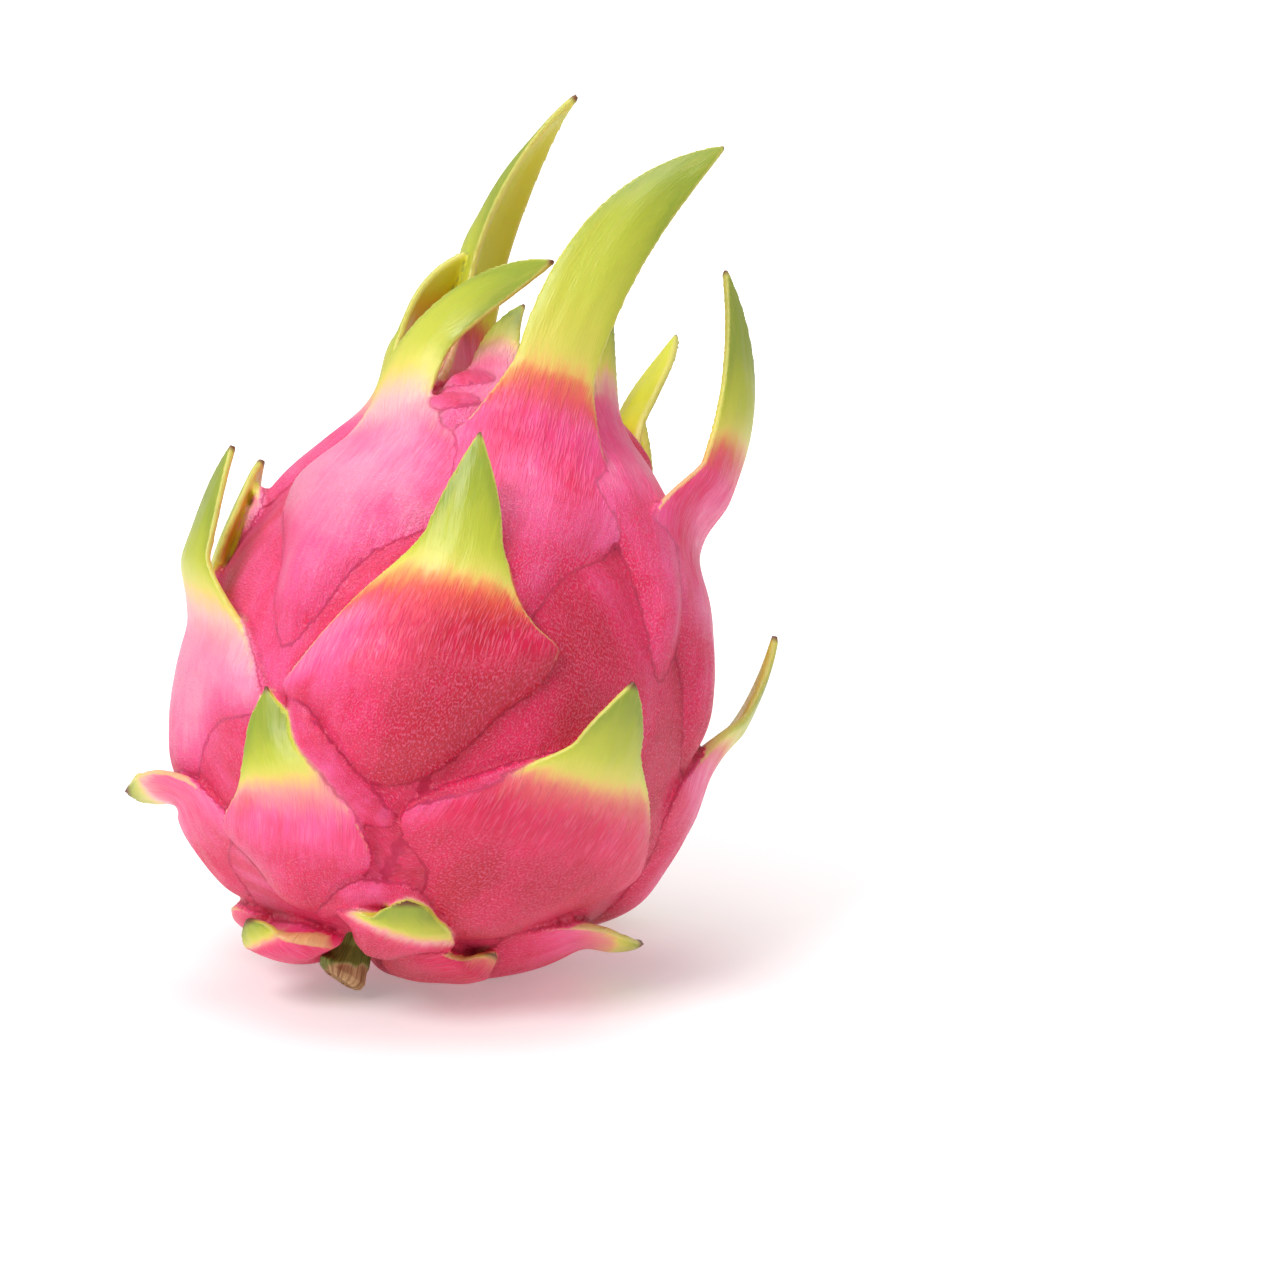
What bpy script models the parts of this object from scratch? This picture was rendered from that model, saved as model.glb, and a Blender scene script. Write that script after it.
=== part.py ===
"""A whole dragon fruit, lying on the flat of its rind with its crown up and leaning away.

The fruit is modelled round its own axis (+Z from stem end to crown, -Y to the front) and then leaned as one.
Metres, +Z up. The origin is on the ground, below the middle of the whole fruit's box.
"""

import math
from dataclasses import dataclass

import bmesh
import bpy
import numpy as np
from mathutils import Euler

MM = 0.001

# Body of the fruit, without its scales
BODY_RADIUS = 45.5 * MM
CROWN_HEIGHT = 60.0 * MM
BASE_DEPTH = 50.0 * MM
CROWN_POWERS = (1.8, 0.72)
BASE_POWERS = (2.8, 0.5)
NAVEL_DEPTH, NAVEL_SPREAD = 6.0 * MM, 9.0 * MM
STEM_PIT_DEPTH, STEM_PIT_SPREAD = 7.0 * MM, 9.0 * MM
BODY_RINGS, BODY_SIDES = 28, 44
PROFILE_STEPS = 721
NORMAL_STEP = 0.5 * MM
BEND = 4.5 * MM
BEND_REACH = 50.0 * MM

# How the fruit lies
LEAN_RIGHT_DEG = 16.8
LEAN_BACK_DEG = 23.1
REST_HEIGHT = 51.0 * MM
CENTRE_SHIFT = (-0.85 * MM, -6.2 * MM)
GROUND_BLOCK = 200.0 * MM

# Form that all scales share
KITE_POWER, OGEE_POWER = 0.75, 1.2
BLADE_POWERS = (2.2, 0.9)
BULGE_FULL_AT, MARGIN_RISES_FROM = 0.5, 0.6
CROSS_POWER = 2.4
SHOULDER_ROUNDING = 1.5 * MM
TILE_SUNK = -1.2 * MM
MARGIN_PER_BULGE = 0.45
TILE_THICKNESS = 2.5 * MM
NECK_THICKNESS = 3.2 * MM
TIP_THICKNESS = 1.2 * MM
MARGIN_THICKNESS = 0.8 * MM
SMALLEST_GIRTH = 12.0 * MM
TILE_ROWS, OGEE_ROWS, BLADE_ROWS = 5, 4, 5
ACROSS = (-1.0, -0.6, 0.0, 0.6, 1.0)
SPINE_STEPS = 200

# Pieces set into the ends of the fruit
GAP = 0.3 * MM
STUB_RADIUS, STUB_TOP, STUB_END = 4.6 * MM, -40.0 * MM, -55.5 * MM
STUB_SHIFT = -3.9 * MM
STUB_SWAY, STUB_SWAY_FROM = 1.2 * MM, 0.35
STUB_SLANT = 0.3
STUB_SIDES = 14
STUB_PROFILE = ((0.0, 1.0), (0.35, 1.0), (0.6, 0.84), (0.82, 0.9), (1.0, 0.97))
SCAR_RADIUS, SCAR_FOOT, SCAR_RIM = 5.5 * MM, 49.5 * MM, 57.0 * MM
SCAR_SIDES = 16
SCAR_PROFILE = ((1.0, 0.0), (1.0, 0.75), (0.85, 0.95), (0.5, 0.85), (0.25, 0.7))
SEAT_SIDES = 24
TEPALS = 7
TEPAL_LENGTH, TEPAL_WIDTH, TEPAL_THICKNESS = 8.0 * MM, 3.4 * MM, 0.9 * MM
TEPAL_ROOT, TEPAL_RING, TEPAL_BOW = 4.5 * MM, 3.4 * MM, 1.6 * MM
TEPAL_STEPS = (0.0, 0.35, 0.7, 1.0)
TEPAL_TAPER = 0.65
SHARP_ANGLE = math.radians(40)


@dataclass(frozen=True)
class Scale:
    """One scale. Lengths are in millimetres, and knee and tip are (along, out, side) of its shoulder."""

    name: str
    azimuth_deg: float
    climb: float
    half_width: float
    drop: float
    neck_rise: float
    neck: float
    knee: tuple
    tip: tuple
    slant: float = 0.0
    twist_deg: float = 0.0
    bulge: float = 3.2
    taper: float = 0.4
    channel: float = 2.0


SCALES = (
    # name, azimuth, climb, half-width, drop, neck rise, neck, knee, tip, slant, twist, bulge, taper, channel
    Scale("crown_left", -42, 107, 20, 42, 20, 6, (35.5, 0, -25.5), (48, 11, 15), 0, 0, 3.2, -0.2),
    Scale("crown_front", 3, 112, 20, 42, 22.5, 7.3, (31.5, 34, -6), (66.5, 31.5, 18.5), 0, 0, 2.6, -0.1),
    Scale("crown_back_tall", -118, 134, 15, 30, 14, 7.5, (3, 31, -7), (53, 36.5, 9.5), 0, -15, 3.2, -0.3, 0.7),
    Scale("crown_back_left", -100, 120, 18, 40, 20, 8, (9.5, 10.5, 0), (39.5, 17.5, -1.5), 0, 45, 3.2, 0.4),
    Scale("crown_inner", -28, 134, 10, 22, 9, 4.5, (13, 5, -5), (24, 9, -3), 0, 0, 3.2, 0.3),
    Scale("crown_right_front", 48, 120, 18, 42, 20, 4, (4, 0.5, -14), (39.5, 8, 1), 0, 0, 3.2, 0.4),
    Scale("crown_back_right", 115, 130, 16, 34, 14, 5.3, (12, 6, -4), (16.5, 32.5, 15.5), 0, 0, 3.2, 0.4),
    Scale("side_right", 68, 106, 20, 40, 20, 9.8, (17, 20.5, 4), (57.5, 20.5, 2), 0, 22, 3.2, 0.4),
    Scale("front", -10, 74, 23, 25, 24.5, 6.7, (7, 0, 4.5), (42, 1, -1), 0.38, 0, 4.6, 0.5),
    Scale("low_left", -30.5, 40, 16, 24, 21.5, 4.2, (7.5, 2.5, -4), (24, -7, -9.5), 0, 0, 3.2, 0.7),
    Scale("low_right", 35, 52, 28, 32, 20, 7, (18, 4, -3), (32, 2, -5), 0.08, 0, 3.2, 0.4),
    Scale("low_far_left", -80, 41, 18, 27, 7, 7.5, (5, 3.5, -6), (8.5, 8, -9), 0, -30, 1.5, 0.3),
    Scale("side_left", -77, 71, 27, 34, 18, 8, (0, 12, 6), (36, 5.5, 6), -0.3, -6, 2.6, 0.4),
    Scale("back_left", -106, 83, 18, 30, 14, 12, (7.5, 0.5, 8), (27, 3, 5.5), 0, -8, 3.2, 0.4),
    Scale("left_spike", -95, 99, 8, 16, 4, 3, (2, 4, 0), (4, 7, 0)),
    Scale("base_left", -60, 14.5, 12, 12, 5, 6, (4, 4, -0.5), (7, 2.5, -3), 0, 0, 8, 0.2),
    Scale("base_front", 13, 26.5, 12, 14, 6, 5, (4.5, 3, -1), (8, 1.5, -2.5), 0, 0, 5, 0.2),
    Scale("base_right", 58, 22, 15, 20, 5, 5, (3, 4, 0), (7, 1, 0), 0, 0, 5),
    Scale("low_far_right", 84, 36, 18, 26, 9, 7, (8, 6, 2), (14, 7, 3)),
    Scale("side_far_right", 92, 70, 21, 34, 18, 6, (15, 9, 3), (36, 8, 4)),
    Scale("back_base", 130, 22, 15, 18, 5, 5, (3, 3, 0), (7, 1, 0), 0, 0, 3.5),
    Scale("back_base_left", -125, 20, 15, 18, 5, 5, (3, 3, 0), (7, 1, 0), 0, 0, 4),
    Scale("back_low_right", 134, 52, 20, 30, 14, 6, (14, 7, -2), (27, 6, -4)),
    Scale("back_low_left", -146, 46, 20, 28, 14, 6, (14, 7, 2), (26, 5, 3)),
    Scale("back_middle", 178, 80, 22, 34, 20, 6, (20, 9, 2), (40, 8, 4)),
    Scale("back_right_high", 138, 100, 20, 36, 20, 6, (22, 11, 2), (44, 15, 5)),
    Scale("back_left_high", -152, 108, 20, 38, 22, 7, (24, 12, -2), (48, 20, -4)),
    Scale("crown_back", 172, 128, 16, 32, 16, 6, (18, 14, -3), (40, 28, -5)),
    Scale("crown_inner_right", 70, 142, 10, 20, 8, 4, (8, 5, 4), (16, 12, 3)),
)


def body_profile(count):
    """Radius and height of the body's outline, from the stem end to the crown, before pit and navel."""
    swing = np.linspace(-math.pi / 2, math.pi / 2, count)
    share = np.sin(swing)
    crown = np.clip(1 - np.abs(share) ** CROWN_POWERS[0], 0, 1) ** CROWN_POWERS[1]
    base = np.clip(1 - np.abs(share) ** BASE_POWERS[0], 0, 1) ** BASE_POWERS[1]
    radius = BODY_RADIUS * np.where(share > 0, crown, base)
    height = np.where(share > 0, share * CROWN_HEIGHT, share * BASE_DEPTH)
    height -= np.where(share > 0, NAVEL_DEPTH, 0) * np.exp(-((radius / NAVEL_SPREAD) ** 2))
    height += np.where(share > 0, 0, STEM_PIT_DEPTH) * np.exp(-((radius / STEM_PIT_SPREAD) ** 2))
    return radius, height


PROFILE_RADIUS, PROFILE_HEIGHT = body_profile(PROFILE_STEPS)
PROFILE_CLIMB = np.concatenate(
    ([0.0], np.cumsum(np.hypot(np.diff(PROFILE_RADIUS), np.diff(PROFILE_HEIGHT))))
)


def rind_point(azimuth, climb, lift):
    """Points of the body at these azimuths and climbs, lifted off it along its outward normal, and the normals."""
    step = NORMAL_STEP
    climb = np.clip(climb, step, PROFILE_CLIMB[-1] - step)
    radius = np.interp(climb, PROFILE_CLIMB, PROFILE_RADIUS)
    height = np.interp(climb, PROFILE_CLIMB, PROFILE_HEIGHT)
    run = np.interp(climb + step, PROFILE_CLIMB, PROFILE_RADIUS) - np.interp(
        climb - step, PROFILE_CLIMB, PROFILE_RADIUS
    )
    rise = np.interp(climb + step, PROFILE_CLIMB, PROFILE_HEIGHT) - np.interp(
        climb - step, PROFILE_CLIMB, PROFILE_HEIGHT
    )
    slope = np.hypot(run, rise)
    run, rise = run / slope, rise / slope
    outward = np.stack([np.sin(azimuth) * rise, -np.cos(azimuth) * rise, -run + 0 * azimuth], -1)
    place = np.stack([radius * np.sin(azimuth), -radius * np.cos(azimuth), height + 0 * azimuth], -1)
    return place + np.asarray(lift)[..., None] * outward, outward


def shoulder_frame(azimuth, climb):
    """Point, direction to the crown, outward normal and direction to the side, at a scale's shoulder."""
    place, outward = rind_point(azimuth, climb, 0.0)
    side = np.array([math.cos(azimuth), math.sin(azimuth), 0.0])
    along = np.cross(outward, side)
    return place, along, outward, side


def smooth_step(low, high, value):
    share = np.clip((value - low) / (high - low), 0, 1)
    return share * share * (3 - 2 * share)


def half_width_at(scale, climb, length):
    """Half-width of a scale, a climb above its shoulder: kite below, ogee to the neck, blade to the point."""
    wide, neck = scale.half_width * MM, scale.neck * MM
    drop, neck_rise = scale.drop * MM, scale.neck_rise * MM
    kite = wide * np.clip((climb + drop) / drop, 0, None) ** KITE_POWER
    ogee = neck + (wide - neck) * np.clip(1 - climb / neck_rise, 0, None) ** OGEE_POWER
    past = np.clip((climb - neck_rise) / (length - neck_rise), 0, 1)
    blade = (1 - scale.taper * past) * (1 - past ** BLADE_POWERS[0]) ** BLADE_POWERS[1]
    soft = SHOULDER_ROUNDING
    rounded = -soft * np.log(np.exp(-kite / soft) + np.exp(-ogee / soft))
    return np.clip(rounded, 0, None) * blade


def spine_of(scale, count):
    """The curve that the middle of a blade follows, from its shoulder: points and directions."""
    place, along, outward, side = shoulder_frame(math.radians(scale.azimuth_deg), scale.climb * MM)
    axes = np.stack([along, outward, side])
    knee = np.array(scale.knee) * MM
    tip = np.array(scale.tip) * MM
    lift = np.array([0.0, scale.bulge * MM, 0.0])
    reach = np.array([0.5 * np.linalg.norm(knee), 0.0, 0.0])
    corners = np.array([lift, lift + reach, knee + 0.5 * lift, tip]) @ axes + place
    share = np.linspace(0, 1, count)[:, None]
    rest = 1 - share
    points = (
        rest**3 * corners[0]
        + 3 * rest**2 * share * corners[1]
        + 3 * rest * share**2 * corners[2]
        + share**3 * corners[3]
    )
    heading = np.gradient(points, axis=0)
    return points, heading / np.linalg.norm(heading, axis=1, keepdims=True)


def scale_rows(scale):
    """Climb of each row of a scale above its shoulder, and the length of its blade."""
    points, _ = spine_of(scale, SPINE_STEPS)
    length = np.linalg.norm(np.diff(points, axis=0), axis=1).sum()
    neck_rise = scale.neck_rise * MM
    tile = np.linspace(-scale.drop * MM, 0, TILE_ROWS + 1)[1:]
    ogee = np.linspace(0, neck_rise, OGEE_ROWS + 1)[1:]
    blade = neck_rise + (length - neck_rise) * np.linspace(0, 1, BLADE_ROWS + 1)[1:-1]
    return np.concatenate([tile, ogee, blade]), length


def scale_surface(scale, climb, across, length):
    """Outer and inner face of a scale, for climbs above its shoulder (column) and shares across it (row)."""
    climb = np.asarray(climb)[:, None]
    across = np.asarray(across)[None, :]
    azimuth, shoulder = math.radians(scale.azimuth_deg), scale.climb * MM
    drop, neck_rise = scale.drop * MM, scale.neck_rise * MM
    half = half_width_at(scale, climb, length)
    offset = half * across
    tile = np.clip((climb + drop) / drop, 0, 1)
    freed = smooth_step(0.0, 1.0, climb / neck_rise)
    toward_tip = np.clip((climb - neck_rise) / (length - neck_rise), 0, 1)

    middle = TILE_SUNK + (scale.bulge * MM - TILE_SUNK) * smooth_step(0.0, BULGE_FULL_AT, tile)
    margin_rise = MARGIN_PER_BULGE * scale.bulge * MM
    margin = TILE_SUNK + (margin_rise - TILE_SUNK) * smooth_step(MARGIN_RISES_FROM, 1.0, tile)
    lift = margin + (middle - margin) * (1 - np.abs(across) ** CROSS_POWER)
    slanted = climb + scale.slant * offset * np.exp(-((climb / neck_rise) ** 2)) * tile
    level = shoulder + slanted
    girth = np.maximum(np.interp(level, PROFILE_CLIMB, PROFILE_RADIUS), SMALLEST_GIRTH)
    draped, drape_out = rind_point(azimuth + offset / girth, level, lift)

    points, heading = spine_of(scale, SPINE_STEPS)
    travelled = np.concatenate(([0.0], np.cumsum(np.linalg.norm(np.diff(points, axis=0), axis=1))))
    at = np.clip(climb[:, 0], 0, length)
    centre = np.stack([np.interp(at, travelled, points[:, k]) for k in range(3)], -1)
    ahead = np.stack([np.interp(at, travelled, heading[:, k]) for k in range(3)], -1)
    _, _, _, side = shoulder_frame(azimuth, shoulder)
    sideways = side - (ahead @ side)[:, None] * ahead
    sideways /= np.linalg.norm(sideways, axis=1, keepdims=True)
    outward = np.cross(sideways, ahead)
    turn = np.radians(scale.twist_deg) * toward_tip
    sideways, outward = (
        np.cos(turn) * sideways + np.sin(turn) * outward,
        np.cos(turn) * outward - np.sin(turn) * sideways,
    )
    channel = BODY_RADIUS + (scale.channel * scale.neck * MM - BODY_RADIUS) * freed
    sag = offset**2 / (2 * channel)
    blade = centre[:, None] + offset[..., None] * sideways[:, None] - sag[..., None] * outward[:, None]

    mix = freed[..., None]
    outer = (1 - mix) * draped + mix * blade
    folded = outward[:, None] + (offset / channel)[..., None] * sideways[:, None]
    folded /= np.linalg.norm(folded, axis=2, keepdims=True)
    facing = (1 - mix) * drape_out + mix * folded
    facing /= np.linalg.norm(facing, axis=2, keepdims=True)
    root = TILE_THICKNESS + scale.bulge * MM
    core = root + (NECK_THICKNESS - root) * freed
    core = core + (TIP_THICKNESS - NECK_THICKNESS) * toward_tip
    edge = TILE_THICKNESS + (MARGIN_THICKNESS - TILE_THICKNESS) * np.sqrt(freed)
    thick = edge + (core - edge) * (1 - across**2)
    return outer, outer - thick[..., None] * facing


def bent(points):
    """Points of the straight fruit moved to where its slightly curved axis carries them."""
    points = np.array(points, float)
    points[..., 0] -= BEND * (np.minimum(points[..., 2], 0) / BEND_REACH) ** 2
    return points


def new_material(name, colour, roughness):
    material = bpy.data.materials.new(name)
    material.use_nodes = True
    shader = material.node_tree.nodes["Principled BSDF"]
    shader.inputs["Base Color"].default_value = (*colour, 1.0)
    shader.inputs["Roughness"].default_value = roughness
    shader.inputs["Metallic"].default_value = 0.0
    return material


def new_object(name, mesh_data, collection):
    mesh = bpy.data.meshes.new(name)
    bmesh.ops.recalc_face_normals(mesh_data, faces=mesh_data.faces)
    mesh_data.to_mesh(mesh)
    mesh_data.free()
    thing = bpy.data.objects.new(name, mesh)
    collection.objects.link(thing)
    return thing


def build_body(collection):
    """The rind without scales: the profile spun round the axis."""
    radius, height = body_profile(BODY_RINGS + 1)
    shape = bmesh.new()
    line = [shape.verts.new((0.0, -r, z)) for r, z in zip(radius, height)]
    edges = [shape.edges.new(pair) for pair in zip(line, line[1:])]
    bmesh.ops.spin(
        shape,
        geom=line + edges,
        axis=(0, 0, 1),
        cent=(0, 0, 0),
        angle=2 * math.pi,
        steps=BODY_SIDES,
    )
    bmesh.ops.remove_doubles(shape, verts=shape.verts, dist=0.01 * MM)
    for vert in shape.verts:
        vert.co = bent(vert.co)
    return new_object("body", shape, collection)


def build_scale(scale, collection):
    """One scale as a closed sheet: rings of outer and inner face, from the foot of its tile to its tip."""
    climbs, length = scale_rows(scale)
    outer, inner = scale_surface(scale, climbs, ACROSS, length)
    foot, _ = scale_surface(scale, [-scale.drop * MM], (0.0,), length)
    tip, _ = scale_surface(scale, [length], (0.0,), length)
    shape = bmesh.new()
    rings = [
        [shape.verts.new(p) for p in bent(np.concatenate([front, back[::-1]]))]
        for front, back in zip(outer, inner)
    ]
    sides = len(rings[0])
    for low, high in zip(rings, rings[1:]):
        for k in range(sides):
            after = (k + 1) % sides
            shape.faces.new((low[k], low[after], high[after], high[k]))
    for ring, point in ((rings[0], foot[0, 0]), (rings[-1], tip[0, 0])):
        end = shape.verts.new(bent(point))
        for k in range(sides):
            shape.faces.new((ring[k], ring[(k + 1) % sides], end))
    return new_object(scale.name, shape, collection)


def joined(name, target, others):
    """The target with all of the others joined to it by one Boolean union, applied."""
    union = target.modifiers.new("union", "BOOLEAN")
    union.operation = "UNION"
    union.operand_type = "COLLECTION"
    union.collection = others
    union.solver = "EXACT"
    bpy.context.view_layer.update()
    graph = bpy.context.evaluated_depsgraph_get()
    target.data = bpy.data.meshes.new_from_object(target.evaluated_get(graph))
    target.modifiers.clear()
    target.name = name
    for extra in list(others.objects):
        bpy.data.objects.remove(extra)
    bpy.data.collections.remove(others)
    return target


def ring_of(radius, height, sides, centre=(0.0, 0.0), tilt=0.0):
    """A level ring of points round the axis. The tilt raises it by this share of the way across."""
    turns = np.arange(sides) * 2 * math.pi / sides
    across, depth = radius * np.cos(turns), radius * np.sin(turns)
    return np.stack([centre[0] + across, centre[1] + depth, height + tilt * across], -1)


def add_loft(shape, rings):
    """A closed skin over these rings, each with as many points, and a flat cap at both ends."""
    loops = [[shape.verts.new(point) for point in ring] for ring in rings]
    count = len(loops[0])
    for low, high in zip(loops, loops[1:]):
        for k in range(count):
            after = (k + 1) % count
            shape.faces.new((low[k], low[after], high[after], high[k]))
    shape.faces.new(loops[0][::-1])
    shape.faces.new(loops[-1])


def add_cutter(name, shape, parent):
    """A helper that only cuts: hidden in renders, and drawn as wire."""
    cutter = new_object(name, shape, bpy.context.scene.collection)
    cutter.parent = parent
    cutter.hide_render = True
    cutter.display_type = "WIRE"
    return cutter


def cut(target, cutter):
    """Takes the cutter's shape out of the target, by a modifier that stays."""
    difference = target.modifiers.new(cutter.name, "BOOLEAN")
    difference.operation = "DIFFERENCE"
    difference.solver = "EXACT"
    difference.object = cutter


def socket_cutter(name, radius, low, high, shift, parent):
    """A plain round plug that cuts the seat of an end piece, with the gap all round."""
    shape = bmesh.new()
    add_loft(shape, [ring_of(radius + GAP, height, SEAT_SIDES, (shift, 0.0)) for height in (low, high)])
    return add_cutter(name, shape, parent)


def ground_cutter():
    """The block below the ground, which cuts the small flat spot that the fruit rests on."""
    shape = bmesh.new()
    bmesh.ops.create_cube(shape, size=GROUND_BLOCK)
    bmesh.ops.translate(shape, verts=shape.verts, vec=(0, 0, -GROUND_BLOCK / 2))
    return add_cutter("ground_cutter", shape, None)


def build_stem_stub(lean):
    """The short stub of the cut stem: waisted, a little bent and cut at a slant."""
    length = STUB_TOP - STUB_END
    shape = bmesh.new()
    rings = []
    for share, swell in reversed(STUB_PROFILE):
        sway = -STUB_SWAY * max(share - STUB_SWAY_FROM, 0)
        centre = (STUB_SHIFT + sway, sway)
        height = STUB_TOP - share * length
        rings.append(ring_of(STUB_RADIUS * swell, height, STUB_SIDES, centre, -STUB_SLANT * share**4))
    add_loft(shape, rings)
    stub = new_object("stem_stub", shape, bpy.context.scene.collection)
    stub.parent = lean
    stub.data.materials.append(new_material("cut_stem", (0.36, 0.34, 0.10), 0.7))
    stub.data.shade_smooth()
    stub.data.set_sharp_from_angle(angle=SHARP_ANGLE)
    return stub


def build_flower_scar(lean):
    """The dried foot of the flower in the navel: a dished button with withered tepal ends round it."""
    home = bpy.context.scene.collection
    shape = bmesh.new()
    height = SCAR_RIM - SCAR_FOOT
    add_loft(
        shape,
        [ring_of(SCAR_RADIUS * r, SCAR_FOOT + z * height, SCAR_SIDES) for r, z in SCAR_PROFILE],
    )
    button = new_object("button", shape, home)
    ends = bpy.data.collections.new("tepal ends")
    home.children.link(ends)
    for k in range(TEPALS):
        build_tepal_end(k, ends)
    scar = joined("flower_scar", button, ends)
    scar.parent = lean
    scar.data.materials.append(new_material("dried_flower", (0.13, 0.07, 0.035), 0.85))
    scar.data.shade_smooth()
    scar.data.set_sharp_from_angle(angle=SHARP_ANGLE)
    return scar


def build_tepal_end(index, collection):
    """One withered strip, rooted in the button and curling in over it."""
    turn = 2 * math.pi * (index + 0.25 * math.sin(2.4 * index)) / TEPALS
    outward = np.array([math.cos(turn), math.sin(turn), 0.0])
    side = np.array([-math.sin(turn), math.cos(turn), 0.0])
    length = TEPAL_LENGTH * (1 + 0.2 * math.sin(1.7 * index))
    rings = []
    for share in TEPAL_STEPS:
        reach = TEPAL_RING + TEPAL_BOW * math.sin(math.pi * share)
        centre = outward * reach + np.array([0, 0, SCAR_FOOT + TEPAL_ROOT + share * length])
        half = TEPAL_WIDTH / 2 * (1 - TEPAL_TAPER * share)
        thick = outward * TEPAL_THICKNESS / 2
        rings.append(
            [centre + side * half - thick, centre + side * half + thick,
             centre - side * half + thick, centre - side * half - thick]
        )
    shape = bmesh.new()
    add_loft(shape, rings)
    return new_object(f"tepal_end_{index}", shape, collection)


def build_fruit(lean):
    """The rind with all of its scales, in one solid, with its flat spot and the seats of the end pieces."""
    home = bpy.context.scene.collection
    scales = bpy.data.collections.new("scales")
    home.children.link(scales)
    body = build_body(home)
    for scale in SCALES:
        build_scale(scale, scales)
    fruit = joined("fruit", body, scales)
    fruit.parent = lean
    cut(fruit, socket_cutter("stem_seat", STUB_RADIUS, STUB_END, STUB_TOP + GAP, STUB_SHIFT, lean))
    above_scar = 2 * SCAR_RIM - SCAR_FOOT
    cut(fruit, socket_cutter("scar_seat", SCAR_RADIUS, SCAR_FOOT - GAP, above_scar, 0.0, lean))
    cut(fruit, ground_cutter())
    fruit.data.materials.append(new_material("rind", (0.72, 0.04, 0.17), 0.42))
    fruit.data.shade_smooth()
    return fruit


def main():
    for thing in list(bpy.data.objects):
        bpy.data.objects.remove(thing)
    lean = bpy.data.objects.new("lean", None)
    bpy.context.scene.collection.objects.link(lean)
    lean.location = (*CENTRE_SHIFT, REST_HEIGHT)
    lean.rotation_euler = Euler((math.radians(-LEAN_BACK_DEG), math.radians(LEAN_RIGHT_DEG), 0.0))
    build_fruit(lean)
    build_stem_stub(lean)
    build_flower_scar(lean)


main()
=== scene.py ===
"""A whole dragon fruit lying on its side, with its crown raised: the look of its skin, scales and dry ends.

The fruit is made round its own axis (+Z from stem end to crown, -Y to the front) and then leaned as one. All
sizes are in metres, apart from the tables of folds and scales, which are in millimetres.
"""

from __future__ import annotations

import logging
import math
from dataclasses import dataclass, field
from enum import Enum
from functools import cached_property

import bpy
import numpy as np
from mathutils import Euler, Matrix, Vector
from mathutils.bvhtree import BVHTree

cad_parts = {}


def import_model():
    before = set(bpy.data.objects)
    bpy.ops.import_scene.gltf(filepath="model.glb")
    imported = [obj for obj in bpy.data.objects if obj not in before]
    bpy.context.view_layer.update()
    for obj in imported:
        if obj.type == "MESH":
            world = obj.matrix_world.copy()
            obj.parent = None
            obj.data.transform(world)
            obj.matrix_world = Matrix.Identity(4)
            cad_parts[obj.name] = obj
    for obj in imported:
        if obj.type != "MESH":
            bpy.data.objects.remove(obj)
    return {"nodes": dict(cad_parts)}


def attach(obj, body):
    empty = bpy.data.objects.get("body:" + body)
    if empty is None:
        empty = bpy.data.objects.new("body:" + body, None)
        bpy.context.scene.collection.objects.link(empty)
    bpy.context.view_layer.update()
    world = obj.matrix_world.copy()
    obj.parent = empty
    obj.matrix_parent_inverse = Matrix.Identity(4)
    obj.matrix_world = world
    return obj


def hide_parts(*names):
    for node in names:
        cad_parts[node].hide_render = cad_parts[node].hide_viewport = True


MM = 0.001
SMALLEST = 1e-12
SMALLEST_AREA = 1e-30
SCREEN_FULL = 255
SCREEN_KNEE, SCREEN_SLOPE = 0.04045, 12.92
SCREEN_SHIFT, SCREEN_POWER = 0.055, 2.4
Array = np.ndarray
Place = tuple[float, float, float]
Colour = tuple[float, float, float, float]
Stops = tuple[tuple[float, Colour], ...]
WHITE: Colour = (1.0, 1.0, 1.0, 1.0)
MOST_OF_NOISE = (0.25, 0.75)
MIDDLE_OF_NOISE = (0.3, 0.7)

log = logging.getLogger("dragon_fruit")


class Layer(Enum):
    """Attributes that the skin's mesh carries for its finish."""

    GROWTH = "growth"
    RIPE = "ripe"
    WARM = "warm"
    RIM = "rim"
    POINT = "point"
    FACE = "face"
    DEEP = "deep"
    TILE = "tile"
    # how deep the skin lies in a crease, which the finish darkens as painted shade
    CREASE = "crease_shade"


def smooth_step(low: float, high: float, value: Array) -> Array:
    """Eases from 0 at low to 1 at high.

    Args:
        low: Value where the step starts.
        high: Value where it ends.
        value: Values to ease.

    Returns:
        The eased shares, from 0 to 1.
    """
    share = np.clip((value - low) / (high - low), 0, 1)
    return share * share * (3 - 2 * share)


def unit(vectors: Array) -> Array:
    """Returns the vectors scaled to length 1."""
    return vectors / np.maximum(np.linalg.norm(vectors, axis=-1, keepdims=True), SMALLEST)


def numbered(rings: int, sides: int, first: int = 0) -> Array:
    """Returns the numbers of a grid of points, as (ring, point), counted from first."""
    return first + np.arange(rings * sides).reshape(rings, sides)


def walls(corners: Array) -> Array:
    """Four-sided faces between neighbouring rings of points.

    Args:
        corners: Numbers of the points, as (ring, point).

    Returns:
        The four corners of each face.
    """
    low, high = corners[:-1], corners[1:]
    return np.stack([low, np.roll(low, -1, 1), np.roll(high, -1, 1), high], -1).reshape(-1, 4)


def halves(quads: Array) -> Array:
    """Returns the two triangles of each four-sided face."""
    return np.concatenate([quads[:, [0, 1, 2]], quads[:, [0, 2, 3]]])


def fan(ring: Array) -> Array:
    """Returns the triangles that close a ring of points."""
    return np.stack([np.full(len(ring) - 2, ring[0]), ring[1:-1], ring[2:]], -1)


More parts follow.
